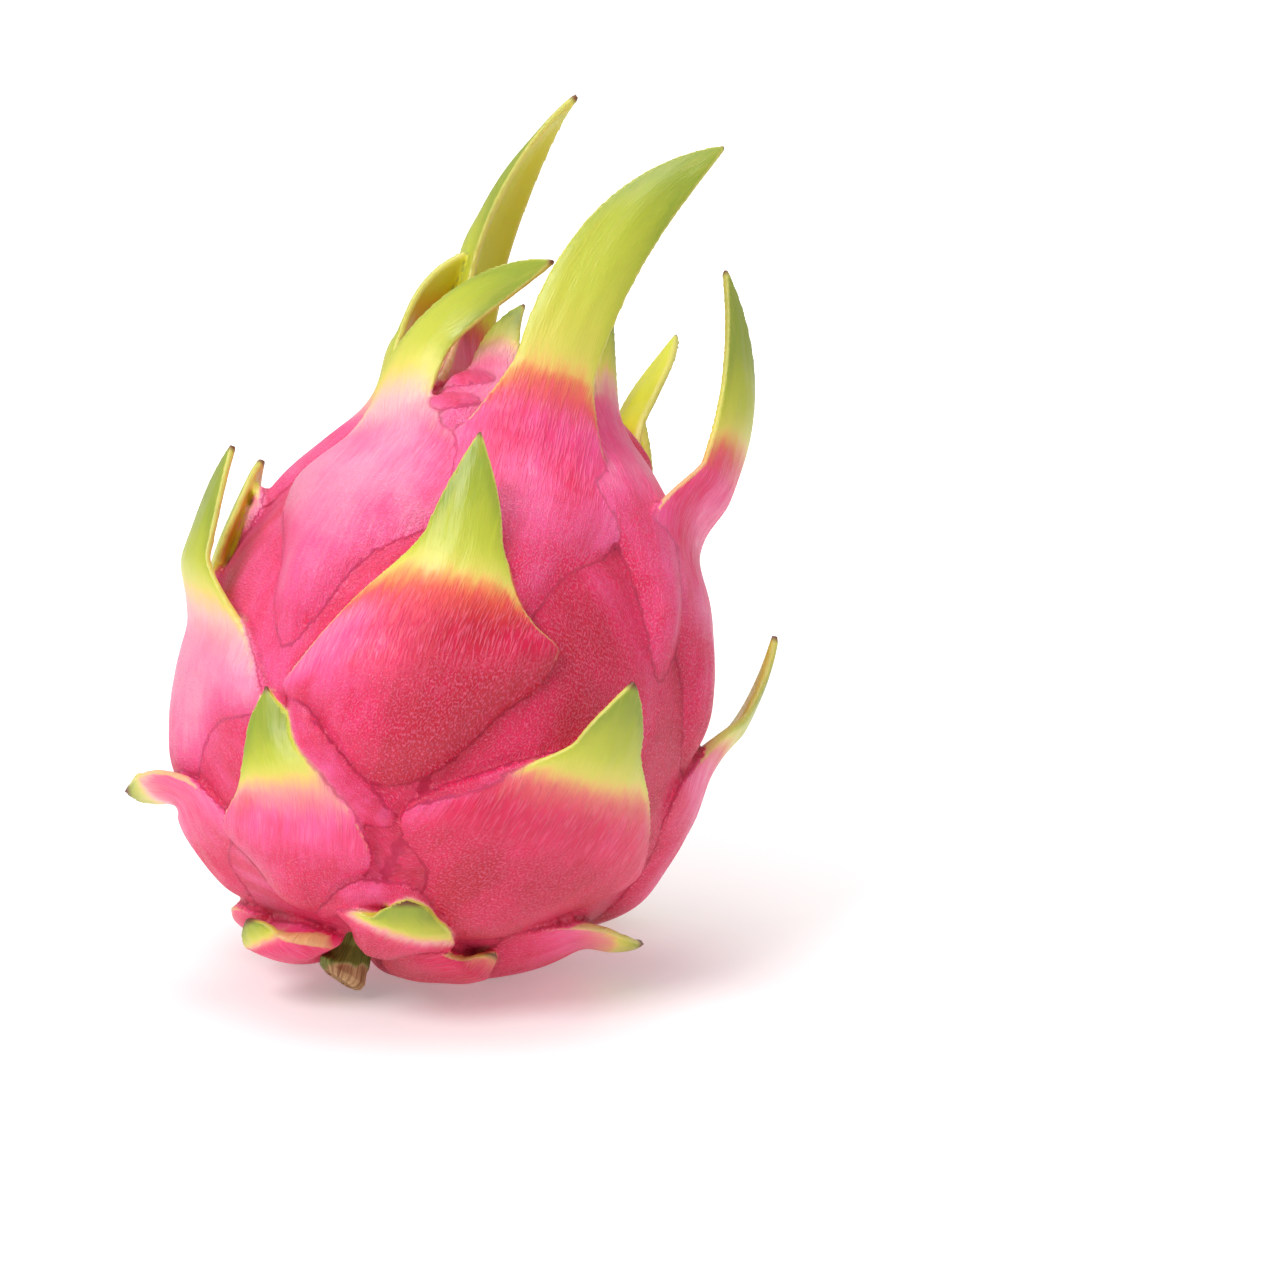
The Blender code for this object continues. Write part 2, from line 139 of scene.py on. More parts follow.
def loft(parts: list[Array], name: str) -> bpy.types.Mesh:
    """A mesh of closed skins, each over rings of points with both ends closed.

    Args:
        parts: Points of each skin as (ring, point, axis), each ring counter-clockwise seen from the last one.
        name: Name of the mesh.

    Returns:
        The mesh, with its points in the order of the parts and their rings.
    """
    faces, start = [], 0
    for rings in parts:
        corners = numbered(*rings.shape[:2], start)
        faces += walls(corners).tolist() + [corners[0][::-1].tolist(), corners[-1].tolist()]
        start += corners.size
    mesh = bpy.data.meshes.new(name)
    mesh.from_pydata(np.concatenate([rings.reshape(-1, 3) for rings in parts]).tolist(), [], faces)
    return mesh


def points_of(mesh: bpy.types.Mesh) -> Array:
    """The points of a mesh.

    Args:
        mesh: The mesh.

    Returns:
        Its points as (point, axis).
    """
    points = np.empty(len(mesh.vertices) * 3)
    mesh.vertices.foreach_get("co", points)
    return points.reshape(-1, 3)


def carry(mesh: bpy.types.Mesh, layer: Layer, values: Array) -> None:
    """Gives a mesh an attribute.

    Args:
        mesh: The mesh.
        layer: The attribute.
        values: One number or vector for each point.
    """
    kind = ("FLOAT_VECTOR", "vector") if values.ndim == 2 else ("FLOAT", "value")
    mesh.attributes.new(layer.value, kind[0], "POINT").data.foreach_set(kind[1], values.ravel())


def put(name: str, data: bpy.types.ID) -> bpy.types.Object:
    """Puts a new object into the scene.

    Args:
        name: Its name.
        data: Its mesh, light or camera.

    Returns:
        The object.
    """
    thing = bpy.data.objects.new(name, data)
    bpy.context.scene.collection.objects.link(thing)
    return thing


def dressed(mesh: bpy.types.Mesh, finish: bpy.types.Material) -> bpy.types.Object:
    """Puts a mesh with its finish into the scene.

    Args:
        mesh: The mesh, whose name the object takes.
        finish: Its material.

    Returns:
        The object.
    """
    mesh.materials.append(finish)
    mesh.shade_smooth()
    return put(mesh.name, mesh)


class Lumps:
    """Smooth random relief on a lattice, the same at every run."""

    MIXERS = (73856093, 19349663, 83492791)

    def __init__(self, seed: int, size: int = 4096) -> None:
        """Draws the lattice's values.

        Args:
            seed: Seed of the random numbers.
            size: How many values there are; a power of two.
        """
        self.values = np.random.default_rng(seed).random(size)
        self.size = size

    def at(self, places: Array) -> Array:
        """Reads the relief.

        Args:
            places: Points, in steps of the lattice.

        Returns:
            Heights from -1 to 1.
        """
        cell = np.floor(places).astype(np.int64)
        within = smooth_step(0.0, 1.0, places - cell)
        total = np.zeros(len(places))
        for corner in range(8):
            step = np.array([corner & 1, corner >> 1 & 1, corner >> 2])
            spot = (cell + step) * np.array(self.MIXERS)
            key = (spot[:, 0] ^ spot[:, 1] ^ spot[:, 2]) % self.size
            total += self.values[key] * np.prod(np.where(step, within, 1 - within), axis=1)
        return 2 * total - 1


@dataclass(frozen=True)
class Lean:
    """How the fruit lies: the middle of its body over the ground, and its tilt."""

    shift: tuple[float, float] = (-0.85 * MM, -6.2 * MM)
    height: float = 51.0 * MM
    right_deg: float = 16.8
    back_deg: float = 23.1

    @property
    def centre(self) -> Array:
        """Returns the middle of the body."""
        return np.array([*self.shift, self.height])

    def placed(self, points: Array) -> Array:
        """Returns points of the upright fruit where the leaned fruit has them."""
        turn = Euler((math.radians(-self.back_deg), math.radians(self.right_deg), 0.0)).to_matrix()
        return points @ np.array(turn).T + self.centre


@dataclass(frozen=True)
class BodyForm:
    """The rind without its scales: a profile turned round the axis, bent a little at the stem end."""

    radius: float = 45.5 * MM
    crown_height: float = 60.0 * MM
    base_depth: float = 50.0 * MM
    crown_powers: tuple[float, float] = (1.8, 0.72)
    base_powers: tuple[float, float] = (2.8, 0.5)
    navel: tuple[float, float] = (6.0 * MM, 9.0 * MM)
    stem_pit: tuple[float, float] = (7.0 * MM, 9.0 * MM)
    bend: float = 4.5 * MM
    bend_reach: float = 50.0 * MM
    normal_step: float = 0.5 * MM
    outline_points: int = 721

    def outline(self) -> tuple[Array, Array]:
        """Radius and height of the outline, from the stem end to the crown.

        Returns:
            Radii and heights.
        """
        share = np.sin(np.linspace(-math.pi / 2, math.pi / 2, self.outline_points))
        crown = np.clip(1 - np.abs(share) ** self.crown_powers[0], 0, 1) ** self.crown_powers[1]
        base = np.clip(1 - np.abs(share) ** self.base_powers[0], 0, 1) ** self.base_powers[1]
        radius = self.radius * np.where(share > 0, crown, base)
        height = np.where(share > 0, share * self.crown_height, share * self.base_depth)
        height -= np.where(share > 0, self.navel[0], 0) * np.exp(-((radius / self.navel[1]) ** 2))
        height += np.where(share > 0, 0, self.stem_pit[0]) * np.exp(-((radius / self.stem_pit[1]) ** 2))
        return radius, height

    @cached_property
    def profile(self) -> tuple[Array, Array, Array]:
        """The outline with the way along it.

        Returns:
            Radii, heights and climbs.
        """
        radius, height = self.outline()
        climb = np.concatenate(([0.0], np.cumsum(np.hypot(np.diff(radius), np.diff(height)))))
        return radius, height, climb

    def girth(self, climb: Array) -> Array:
        """Returns the outline's radius at these climbs."""
        radius, _, along = self.profile
        return np.interp(climb, along, radius)

    def rind_point(self, azimuth: Array, climb: Array, lift: Array) -> tuple[Array, Array]:
        """Points over the rind.

        Args:
            azimuth: Angle round the axis, in radians from the front.
            climb: Way along the outline from the stem end.
            lift: Height over the rind.

        Returns:
            Places, and the rind's outward normals there.
        """
        radii, heights, along = self.profile
        step = self.normal_step
        climb = np.clip(climb, step, along[-1] - step)
        radius = np.interp(climb, along, radii)
        height = np.interp(climb, along, heights)
        run = np.interp(climb + step, along, radii) - np.interp(climb - step, along, radii)
        rise = np.interp(climb + step, along, heights) - np.interp(climb - step, along, heights)
        slope = np.hypot(run, rise)
        run, rise = run / slope, rise / slope
        outward = np.stack([np.sin(azimuth) * rise, -np.cos(azimuth) * rise, -run + 0 * azimuth], -1)
        place = np.stack([radius * np.sin(azimuth), -radius * np.cos(azimuth), height + 0 * azimuth], -1)
        return place + np.asarray(lift)[..., None] * outward, outward

    def bent(self, points: Array) -> Array:
        """Bends the straight fruit to its slightly curved axis.

        Args:
            points: Points of the straight fruit.

        Returns:
            The same points of the curved one.
        """
        points = np.array(points, float)
        points[..., 0] -= self.bend * (np.minimum(points[..., 2], 0) / self.bend_reach) ** 2
        return points


@dataclass(frozen=True)
class Ripening:
    """How a scale's colour changes along it, in millimetres above its shoulder.

    turn and fade give the middle and half-width of the change from pink to yellow, green the place where the
    green is full, warm how red the change is (1 is orange-red, 0 is a pale whitish pink), deep how dark the
    pink of the tile is (1 is crimson), and across how much darker it is at its one side than in its middle.
    """

    turn: float = 9.0
    fade: float = 5.0
    green: float = 26.0
    warm: float = 0.7
    deep: float = 0.5
    across: float = 0.0


@dataclass(frozen=True)
class Scale:
    """One scale. Lengths are in millimetres, and knee and tip are (along, out, side) of its shoulder."""

    name: str
    azimuth_deg: float
    climb: float
    half_width: float
    drop: float
    neck_rise: float
    neck: float
    knee: tuple[float, float, float]
    tip: tuple[float, float, float]
    slant: float = 0.0
    twist_deg: float = 0.0
    bulge: float = 3.2
    taper: float = 0.4
    channel: float = 2.0
    soft: float = 0.0
    ripening: Ripening = field(default_factory=Ripening)


@dataclass(frozen=True)
class Fold:
    """A roll of skin along a line of (azimuth in degrees, climb) points; lengths in millimetres.

    rise is half its thickness, lift how high its middle lies over the rind, and taper the power of its ends:
    0.5 makes them blunt and 1 pointed.
    """

    name: str
    path: tuple[tuple[float, float], ...]
    half_width: float
    rise: float
    lift: float = 0.0
    taper: float = 0.5


FOLDS: tuple[Fold, ...] = (
    Fold("between_front_and_left", ((-37, 65), (-29, 57), (-19, 51.5), (-11, 48), (-4, 46.5)), 3.3, 1.7),
    Fold("between_front_and_right", ((-3, 50), (4, 54.5), (11, 58), (17, 62), (26, 67)), 1.6, 2.4),
    Fold("over_base_front", ((-24, 19), (-12, 26.5), (-5, 31), (5, 33), (14, 31.5), (32, 25)), 3.2, 2.0),
    Fold("under_crown_inner", ((-52, 133), (-44, 134), (-36, 135.5), (-29, 137.5), (-22, 140.5)),
         3.2, 1.5, 3.2, 0.8),
    Fold("beside_crown_front", ((-48, 125), (-40, 125.5), (-32, 127), (-25, 129), (-18, 132)),
         2.9, 1.4, 3.1, 0.8),
)

SCALES: tuple[Scale, ...] = (
    Scale("crown_left", -42, 107, 20, 42, 20, 6, (35.5, 0, -25.5), (48, 11, 15), 0, 0, 3.2, -0.2, soft=1.0,
          ripening=Ripening(20, 13, 54, 0.1, 0.2, 0.14)),
    Scale("crown_front", 3, 112, 20, 42, 22.5, 7.3, (31.5, 34, -6), (66.5, 31.5, 18.5),
          0, 0, 2.6, -0.1, soft=1.0,
          ripening=Ripening(20, 7, 64, 0.95, 0.5, 0.12)),
    Scale("crown_back_tall", -118, 134, 15, 30, 14, 7.5, (3, 31, -7), (53, 36.5, 9.5), 0, -15, 3.2, -0.3, 0.7,
          ripening=Ripening(17, 6, 46, 1.0, 0.4)),
    Scale("crown_back_left", -100, 120, 18, 40, 20, 8, (9.5, 10.5, 0), (39.5, 17.5, -1.5), 0, 45, 3.2, 0.4,
          ripening=Ripening(6, 6, 40, 0.4, 0.4)),
    Scale("crown_inner", -28, 134, 10, 22, 9, 4.5, (13, 5, -5), (24, 9, -3), 0, 0, 3.2, 0.3,
          ripening=Ripening(13, 6, 22, 0.3, 0.2)),
    Scale("crown_right_front", 48, 120, 18, 42, 20, 4, (4, 0.5, -14), (39.5, 8, 1), 0, 0, 3.2, 0.4, soft=1.0,
          ripening=Ripening(24, 7, 40, 0.2, 0.4)),
    Scale("crown_back_right", 115, 130, 16, 34, 14, 5.3, (12, 6, -4), (16.5, 32.5, 15.5), 0, 0, 3.2, 0.4,
          ripening=Ripening(6, 6, 20, 0.3, 0.4)),
    Scale("side_right", 68, 106, 20, 40, 20, 9.8, (17, 20.5, 4), (57.5, 20.5, 2), 0, 22, 3.2, 0.4, soft=1.0,
          ripening=Ripening(25, 8, 46, 0.9, 0.55)),
    Scale("front", -10, 74, 23, 25, 24.5, 6.7, (7, 0, 4.5), (42, 1, -1), 0.38, 0, 4.6, 0.5,
          ripening=Ripening(14, 8, 33, 1.0, 0.84, 0.38)),
    Scale("low_left", -30.5, 40, 16, 24, 21.5, 4.2, (7.5, 2.5, -4), (24, -7, -9.5), 0, 0, 3.2, 0.7, soft=0.5,
          ripening=Ripening(9.5, 6, 20, 0.5, 0.6)),
    Scale("low_right", 35, 52, 28, 32, 20, 7, (18, 4, -3), (32, 2, -5), 0.08, 0, 3.2, 0.4, soft=0.5,
          ripening=Ripening(11, 6, 28, 0.8, 0.86)),
    Scale("low_far_left", -80, 41, 18, 27, 7, 7.5, (5, 3.5, -6), (8.5, 8, -9), 0, -30, 1.5, 0.3, soft=1.0,
          ripening=Ripening(8, 4, 14, 0.2, 0.5)),
    Scale("side_left", -77, 71, 27, 34, 18, 8, (0, 12, 6), (36, 5.5, 6), -0.3, -6, 2.6, 0.4, soft=1.0,
          ripening=Ripening(8, 8, 26, 0.15, 0.1, 0.1)),
    Scale("back_left", -106, 83, 18, 30, 14, 12, (7.5, 0.5, 8), (27, 3, 5.5), 0, -8, 3.2, 0.4,
          ripening=Ripening(5, 5, 22, 0.9, 0.5)),
    Scale("left_spike", -95, 99, 8, 16, 4, 3, (2, 4, 0), (4, 7, 0), ripening=Ripening(14, 3, 20, 0.1, 0.1)),
    Scale("base_left", -60, 14.5, 12, 12, 5, 6, (4, 4, -0.5), (7, 2.5, -3), 0, 0, 8, 0.2,
          ripening=Ripening(4.6, 1.2, 8, 0.5, 0.7)),
    Scale("base_front", 13, 26.5, 12, 14, 6, 5, (4.5, 3, -1), (8, 1.5, -2.5), 0, 0, 5, 0.2,
          ripening=Ripening(1.8, 1.2, 6.5, 0.3, 0.75)),
    Scale("base_right", 58, 22, 15, 20, 5, 5, (3, 4, 0), (7, 1, 0), 0, 0, 5,
          ripening=Ripening(7, 3, 12, 0.8, 0.9)),
    Scale("low_far_right", 84, 36, 18, 26, 9, 7, (8, 6, 2), (14, 7, 3),
          ripening=Ripening(7, 5, 15, 0.6, 0.6)),
    Scale("side_far_right", 92, 70, 21, 34, 18, 6, (15, 9, 3), (36, 8, 4),
          ripening=Ripening(10, 6, 28, 0.8, 0.5)),
    Scale("back_base", 130, 22, 15, 18, 5, 5, (3, 3, 0), (7, 1, 0), 0, 0, 3.5,
          ripening=Ripening(4, 3, 10, 0.5, 0.7)),
    Scale("back_base_left", -125, 20, 15, 18, 5, 5, (3, 3, 0), (7, 1, 0), 0, 0, 4,
          ripening=Ripening(4, 3, 10, 0.5, 0.7)),
    Scale("back_low_right", 134, 52, 20, 30, 14, 6, (14, 7, -2), (27, 6, -4),
          ripening=Ripening(9, 5, 22, 0.6, 0.6)),
    Scale("back_low_left", -146, 46, 20, 28, 14, 6, (14, 7, 2), (26, 5, 3),
          ripening=Ripening(8, 5, 20, 0.8, 0.7)),
    Scale("back_middle", 178, 80, 22, 34, 20, 6, (20, 9, 2), (40, 8, 4),
          ripening=Ripening(12, 6, 30, 1.0, 0.6)),
    Scale("back_right_high", 138, 100, 20, 36, 20, 6, (22, 11, 2), (44, 15, 5),
          ripening=Ripening(14, 7, 36, 0.7, 0.4)),
    Scale("back_left_high", -152, 108, 20, 38, 22, 7, (24, 12, -2), (48, 20, -4),
          ripening=Ripening(16, 7, 40, 0.9, 0.4)),
    Scale("crown_back", 172, 128, 16, 32, 16, 6, (18, 14, -3), (40, 28, -5),
          ripening=Ripening(12, 7, 36, 0.5, 0.4)),
    Scale("crown_inner_right", 70, 142, 10, 20, 8, 4, (8, 5, 4), (16, 12, 3),
          ripening=Ripening(8, 5, 18, 0.4, 0.4)),
)


@dataclass
class Sheet:
    """A closed sheet of skin in the upright fruit: places, outward normals, triangles and finish values."""

    places: Array
    normals: Array
    triangles: Array
    values: dict[Layer, Array]


@dataclass(frozen=True)
class ScaleForm:
    """Builds the scales: what all of them share, on one body."""

    body: BodyForm = field(default_factory=BodyForm)
    tile_sunk: float = -1.2 * MM
    margin_per_bulge: float = 0.45
    tile_thickness: float = 2.5 * MM
    neck_thickness: float = 3.0 * MM
    tip_thickness: float = 1.3 * MM
    margin_thickness: float = 1.1 * MM
    shoulder_rounding: float = 1.5 * MM
    smallest_girth: float = 12.0 * MM
    row_step: float = 1.0 * MM
    columns: int = 27
    spine_steps: int = 200
    kite_power: float = 0.75
    ogee_power: float = 1.2
    blade_powers: tuple[float, float] = (2.2, 0.9)
    crest_power: float = 2.4
    soft_from: float = 0.45
    middle_full: float = 0.5
    margin_lifts: float = 0.6
    foot_share: float = 0.985
    tip_share: float = 0.995
    root_reach: float = 0.5
    knee_lift: float = 0.5
    growth_apart: float = 37.0
    rind_deep: float = 0.43
    rind_deep_right: float = 0.19
    plain_warm: float = 0.5
    far_from_rim: float = 30.0
    far_from_point: float = 60.0
    fold_deep: float = 0.42
    fold_tile: float = -0.4
    fold_growth: float = 20.0
    first_fold_growth: float = 50.0
    fold_smoothing: int = 4

    def half_width_at(self, scale: Scale, climb: Array, length: float) -> Array:
        """Half-width of a scale: kite below the shoulder, ogee to the neck, blade to the point.

        Args:
            scale: The scale.
            climb: Way above its shoulder.
            length: Length of its blade.

        Returns:
            The half-widths.
        """
        wide, neck = scale.half_width * MM, scale.neck * MM
        drop, neck_rise = scale.drop * MM, scale.neck_rise * MM
        kite = wide * np.clip((climb + drop) / drop, 0, None) ** self.kite_power
        ogee = neck + (wide - neck) * np.clip(1 - climb / neck_rise, 0, None) ** self.ogee_power
        past = np.clip((climb - neck_rise) / (length - neck_rise), 0, 1)
        blade = (1 - scale.taper * past) * (1 - past ** self.blade_powers[0]) ** self.blade_powers[1]
        soft = self.shoulder_rounding
        rounded = -soft * np.log(np.exp(-kite / soft) + np.exp(-ogee / soft))
        return np.clip(rounded, 0, None) * blade

    def spine(self, scale: Scale) -> tuple[Array, Array, Array, Array]:
        """The curve that the middle of a blade follows, from its shoulder.

        Args:
            scale: The scale.

        Returns:
            Points, directions, way travelled, and the direction to the scale's side.
        """
        azimuth = math.radians(scale.azimuth_deg)
        place, outward = self.body.rind_point(azimuth, scale.climb * MM, 0.0)
        side = np.array([math.cos(azimuth), math.sin(azimuth), 0.0])
        axes = np.stack([np.cross(outward, side), outward, side])
        knee, tip = np.array(scale.knee) * MM, np.array(scale.tip) * MM
        lift = np.array([0.0, scale.bulge * MM, 0.0])
        reach = np.array([self.root_reach * np.linalg.norm(knee), 0.0, 0.0])
        corners = np.array([lift, lift + reach, knee + self.knee_lift * lift, tip]) @ axes + place
        share = np.linspace(0, 1, self.spine_steps)[:, None]
        rest = 1 - share
        points = (
            rest**3 * corners[0]
            + 3 * rest**2 * share * corners[1]
            + 3 * rest * share**2 * corners[2]
            + share**3 * corners[3]
        )
        travelled = np.concatenate(([0.0], np.cumsum(np.linalg.norm(np.diff(points, axis=0), axis=1))))
        return points, unit(np.gradient(points, axis=0)), travelled, side

    def surface(self, scale: Scale, climb: Array, across: Array) -> tuple[Array, Array, Array, Array]:
        """Outer and inner face of a scale.

        Args:
            scale: The scale.
            climb: Ways above its shoulder, one for each row.
            across: Shares of its half-width, one for each column.

        Returns:
            Outer places, inner places, the outer face's normals, and the sideways offsets.
        """
        points, heading, travelled, side = self.spine(scale)
        length = travelled[-1]
        climb, across = climb[:, None], across[None, :]
        azimuth, shoulder = math.radians(scale.azimuth_deg), scale.climb * MM
        drop, neck_rise = scale.drop * MM, scale.neck_rise * MM
        offset = self.half_width_at(scale, climb, length) * across
        tile = np.clip((climb + drop) / drop, 0, 1)
        freed = smooth_step(0.0, 1.0, climb / neck_rise)
        toward_tip = np.clip((climb - neck_rise) / (length - neck_rise), 0, 1)

        middle_rise = scale.bulge * MM - self.tile_sunk
        middle = self.tile_sunk + middle_rise * smooth_step(0.0, self.middle_full, tile)
        margin_rise = self.margin_per_bulge * scale.bulge * MM
        margin = self.tile_sunk + (margin_rise - self.tile_sunk) * smooth_step(self.margin_lifts, 1.0, tile)
        crest = 1 - np.abs(across) ** self.crest_power
        blurred = scale.soft * (1 - smooth_step(self.soft_from, 1.0, tile))
        crest = crest + (np.cos(0.5 * math.pi * across) ** 2 - crest) * blurred
        lift = margin + (middle - margin) * crest
        level = shoulder + climb + scale.slant * offset * np.exp(-((climb / neck_rise) ** 2)) * tile
        girth = np.maximum(self.body.girth(level), self.smallest_girth)
        draped, drape_out = self.body.rind_point(azimuth + offset / girth, level, lift)

        at = np.clip(climb[:, 0], 0, length)
        centre = np.stack([np.interp(at, travelled, points[:, k]) for k in range(3)], -1)
        ahead = np.stack([np.interp(at, travelled, heading[:, k]) for k in range(3)], -1)
        sideways = unit(side - (ahead @ side)[:, None] * ahead)
        outward = np.cross(sideways, ahead)
        turn = np.radians(scale.twist_deg) * toward_tip
        sideways, outward = (
            np.cos(turn) * sideways + np.sin(turn) * outward,
            np.cos(turn) * outward - np.sin(turn) * sideways,
        )
        channel = self.body.radius + (scale.channel * scale.neck * MM - self.body.radius) * freed
        sag = offset**2 / (2 * channel)
        blade = centre[:, None] + offset[..., None] * sideways[:, None] - sag[..., None] * outward[:, None]

        mix = freed[..., None]
        outer = (1 - mix) * draped + mix * blade
        folded = unit(outward[:, None] + (offset / channel)[..., None] * sideways[:, None])
        facing = unit((1 - mix) * drape_out + mix * folded)
        root = self.tile_thickness + scale.bulge * MM
        core = root + (self.neck_thickness - root) * freed
        core = core + (self.tip_thickness - self.neck_thickness) * toward_tip
        edge = self.tile_thickness + (self.margin_thickness - self.tile_thickness) * np.sqrt(freed)
        thick = edge + (core - edge) * (1 - across**2)
        return outer, outer - thick[..., None] * facing, facing, offset

    def sheet(self, scale: Scale, number: int) -> Sheet:
        """The scale as a closed sheet, from the foot of its tile to its tip.

        Args:
            scale: The scale.
            number: Its place in the table, which sets its own shade.

        Returns:
            The sheet.
        """
        _, _, travelled, _ = self.spine(scale)
        length, drop = travelled[-1], scale.drop * MM
        rows = int((length + drop) / self.row_step)
        climb = np.linspace(-self.foot_share * drop, length * self.tip_share, rows)
        across = np.sin(np.linspace(-math.pi / 2, math.pi / 2, self.columns))
        outer, inner, facing, offset = self.surface(scale, climb, across)
        half = self.half_width_at(scale, climb[:, None], length)
        rim = (1 - np.abs(across)) * half / MM
        climb_mm = np.repeat(climb[:, None], self.columns, 1) / MM
        ripe = scale.ripening
        turning = np.clip((climb_mm - ripe.turn + ripe.fade) / (2 * ripe.fade), 0, 1)
        greening = np.clip((climb_mm - ripe.turn) / (ripe.green - ripe.turn), 0, 1)
        flat = np.ones_like(climb_mm)
        front = {
            Layer.GROWTH: np.stack(
                [offset / MM + self.growth_apart * number, climb_mm, flat * number], -1
            ),
            Layer.RIPE: 0.5 * turning + 0.5 * greening,
            Layer.WARM: flat * ripe.warm,
            Layer.RIM: rim,
            Layer.POINT: length / MM - climb_mm,
            Layer.FACE: flat,
            Layer.DEEP: flat * (ripe.deep + ripe.across * across),
            Layer.TILE: np.clip(climb_mm / scale.drop, -1, 1),
        }
        ring = {
            layer: np.concatenate([value, value[:, ::-1] * (0 if layer is Layer.FACE else 1)], 1)
            for layer, value in front.items()
        }
        places = np.concatenate([outer, inner[:, ::-1]], 1)
        normals = np.concatenate([facing, -facing[:, ::-1]], 1)
        corners = numbered(rows, places.shape[1])
        caps = [self.cap(corners[0], flipped=True), self.cap(corners[-1], flipped=False)]
        return Sheet(
            self.body.bent(places.reshape(-1, 3)),
            normals.reshape(-1, 3),
            np.concatenate([halves(walls(corners)), *caps]),
            {layer: value.reshape(corners.size, -1) for layer, value in ring.items()},
        )

    def plain_values(self, growth: Array, deep: float | Array, tile: float) -> dict[Layer, Array]:
        """Finish values of skin that is part of no scale: pink all over, and far from any margin.

        Args:
            growth: Where each point lies for the grain.
            deep: How dark its pink is.
            tile: Where it counts as lying in a tile, from -1 at the foot to 0 at the shoulder.

        Returns:
            The values of each point.
        """
        flat = np.ones((len(growth), 1))
        return {
            Layer.GROWTH: growth,
            Layer.RIPE: 0 * flat,
            Layer.WARM: self.plain_warm * flat,
            Layer.RIM: self.far_from_rim * flat,
            Layer.POINT: self.far_from_point * flat,
            Layer.FACE: flat,
            Layer.DEEP: deep * flat,
            Layer.TILE: tile * flat,
        }

    def fold_sheet(self, fold: Fold, number: int, steps: int = 60, sides: int = 16) -> Sheet:
        """A roll of skin as a closed sheet, thin at both ends.

        Args:
            fold: The fold.
            number: Its place in the table, which sets its own shade.
            steps: Rings along it.
            sides: Points round each ring.

        Returns:
            The sheet.
        """
        knots = np.array(fold.path)
        share = np.linspace(0, 1, steps)
        at = np.linspace(0, 1, len(knots))
        azimuth, climb = (np.interp(share, at, knots[:, k]) for k in range(2))
        for _ in range(self.fold_smoothing):
            for line in (azimuth, climb):
                line[1:-1] = 0.25 * line[:-2] + 0.5 * line[1:-1] + 0.25 * line[2:]
        azimuth, climb = np.radians(azimuth)[:, None], (climb * MM)[:, None]
        girth = self.body.girth(climb)
        heading = unit(np.stack([np.gradient(azimuth, axis=0) * girth, np.gradient(climb, axis=0)], -1))
        swell = (4 * share * (1 - share))[:, None] ** fold.taper
        turn = np.linspace(0, 2 * math.pi, sides, endpoint=False)[None, :]
        offset = fold.half_width * MM * swell * np.cos(turn)
        lift = fold.lift * MM * swell + fold.rise * MM * swell * np.sin(turn)
        around = azimuth + offset * heading[..., 1] / girth
        places, outward = self.body.rind_point(around, climb - offset * heading[..., 0], lift)
        corners = numbered(steps, sides)
        inside_out = halves(walls(corners)[:, [0, 3, 2, 1]])
        triangles = np.concatenate([inside_out, fan(corners[0]), fan(corners[-1])[:, [0, 2, 1]]])
        along = share[:, None] * fold.half_width * self.fold_growth + 0 * turn
        growth = np.stack([offset / MM, along, np.full(along.shape, self.first_fold_growth + number)], -1)
        values = self.plain_values(growth.reshape(-1, 3), self.fold_deep, self.fold_tile)
        return Sheet(self.body.bent(places.reshape(-1, 3)), outward.reshape(-1, 3), triangles, values)

    def cap(self, ring: Array, flipped: bool) -> Array:
        """Triangles that close the end of a sheet, across from its outer to its inner face.

        Args:
            ring: The end's corners, outer face first and the inner face back.
            flipped: Whether the cap faces down the scale.

        Returns:
            The triangles.
        """
        half = len(ring) // 2
        outer, inner = ring[:half], ring[half:][::-1]
        strips = np.concatenate(
            [
                np.stack([outer[:-1], outer[1:], inner[1:]], -1),
                np.stack([outer[:-1], inner[1:], inner[:-1]], -1),
            ]
        )
        return strips[:, ::-1] if flipped else strips

    def rind_sheet(self, rings: int = 150, sides: int = 240) -> Sheet:
        """The body without scales, as a closed sheet.

        Args:
            rings: Rings from the stem end to the crown.
            sides: Points round each ring.

        Returns:
            The sheet.
        """
        _, _, along = self.body.profile
        climb = np.linspace(self.body.normal_step, along[-1] - self.body.normal_step, rings)[:, None]
        azimuth = np.linspace(0, 2 * math.pi, sides, endpoint=False)[None, :]
        climb, azimuth = np.broadcast_arrays(climb, azimuth)
        places, normals = self.body.rind_point(azimuth, climb, 0 * climb)
        corners = numbered(rings, sides)
        triangles = np.concatenate([halves(walls(corners)), fan(corners[0])[:, [0, 2, 1]], fan(corners[-1])])
        swing = (azimuth - math.pi) * self.body.girth(climb) / MM
        growth = np.stack([swing, climb / MM, 0 * climb], -1).reshape(-1, 3)
        deep = (self.rind_deep + self.rind_deep_right * np.sin(azimuth)).reshape(-1, 1)
        values = self.plain_values(growth, deep, -1.0)
        return Sheet(self.body.bent(places.reshape(-1, 3)), normals.reshape(-1, 3), triangles, values)


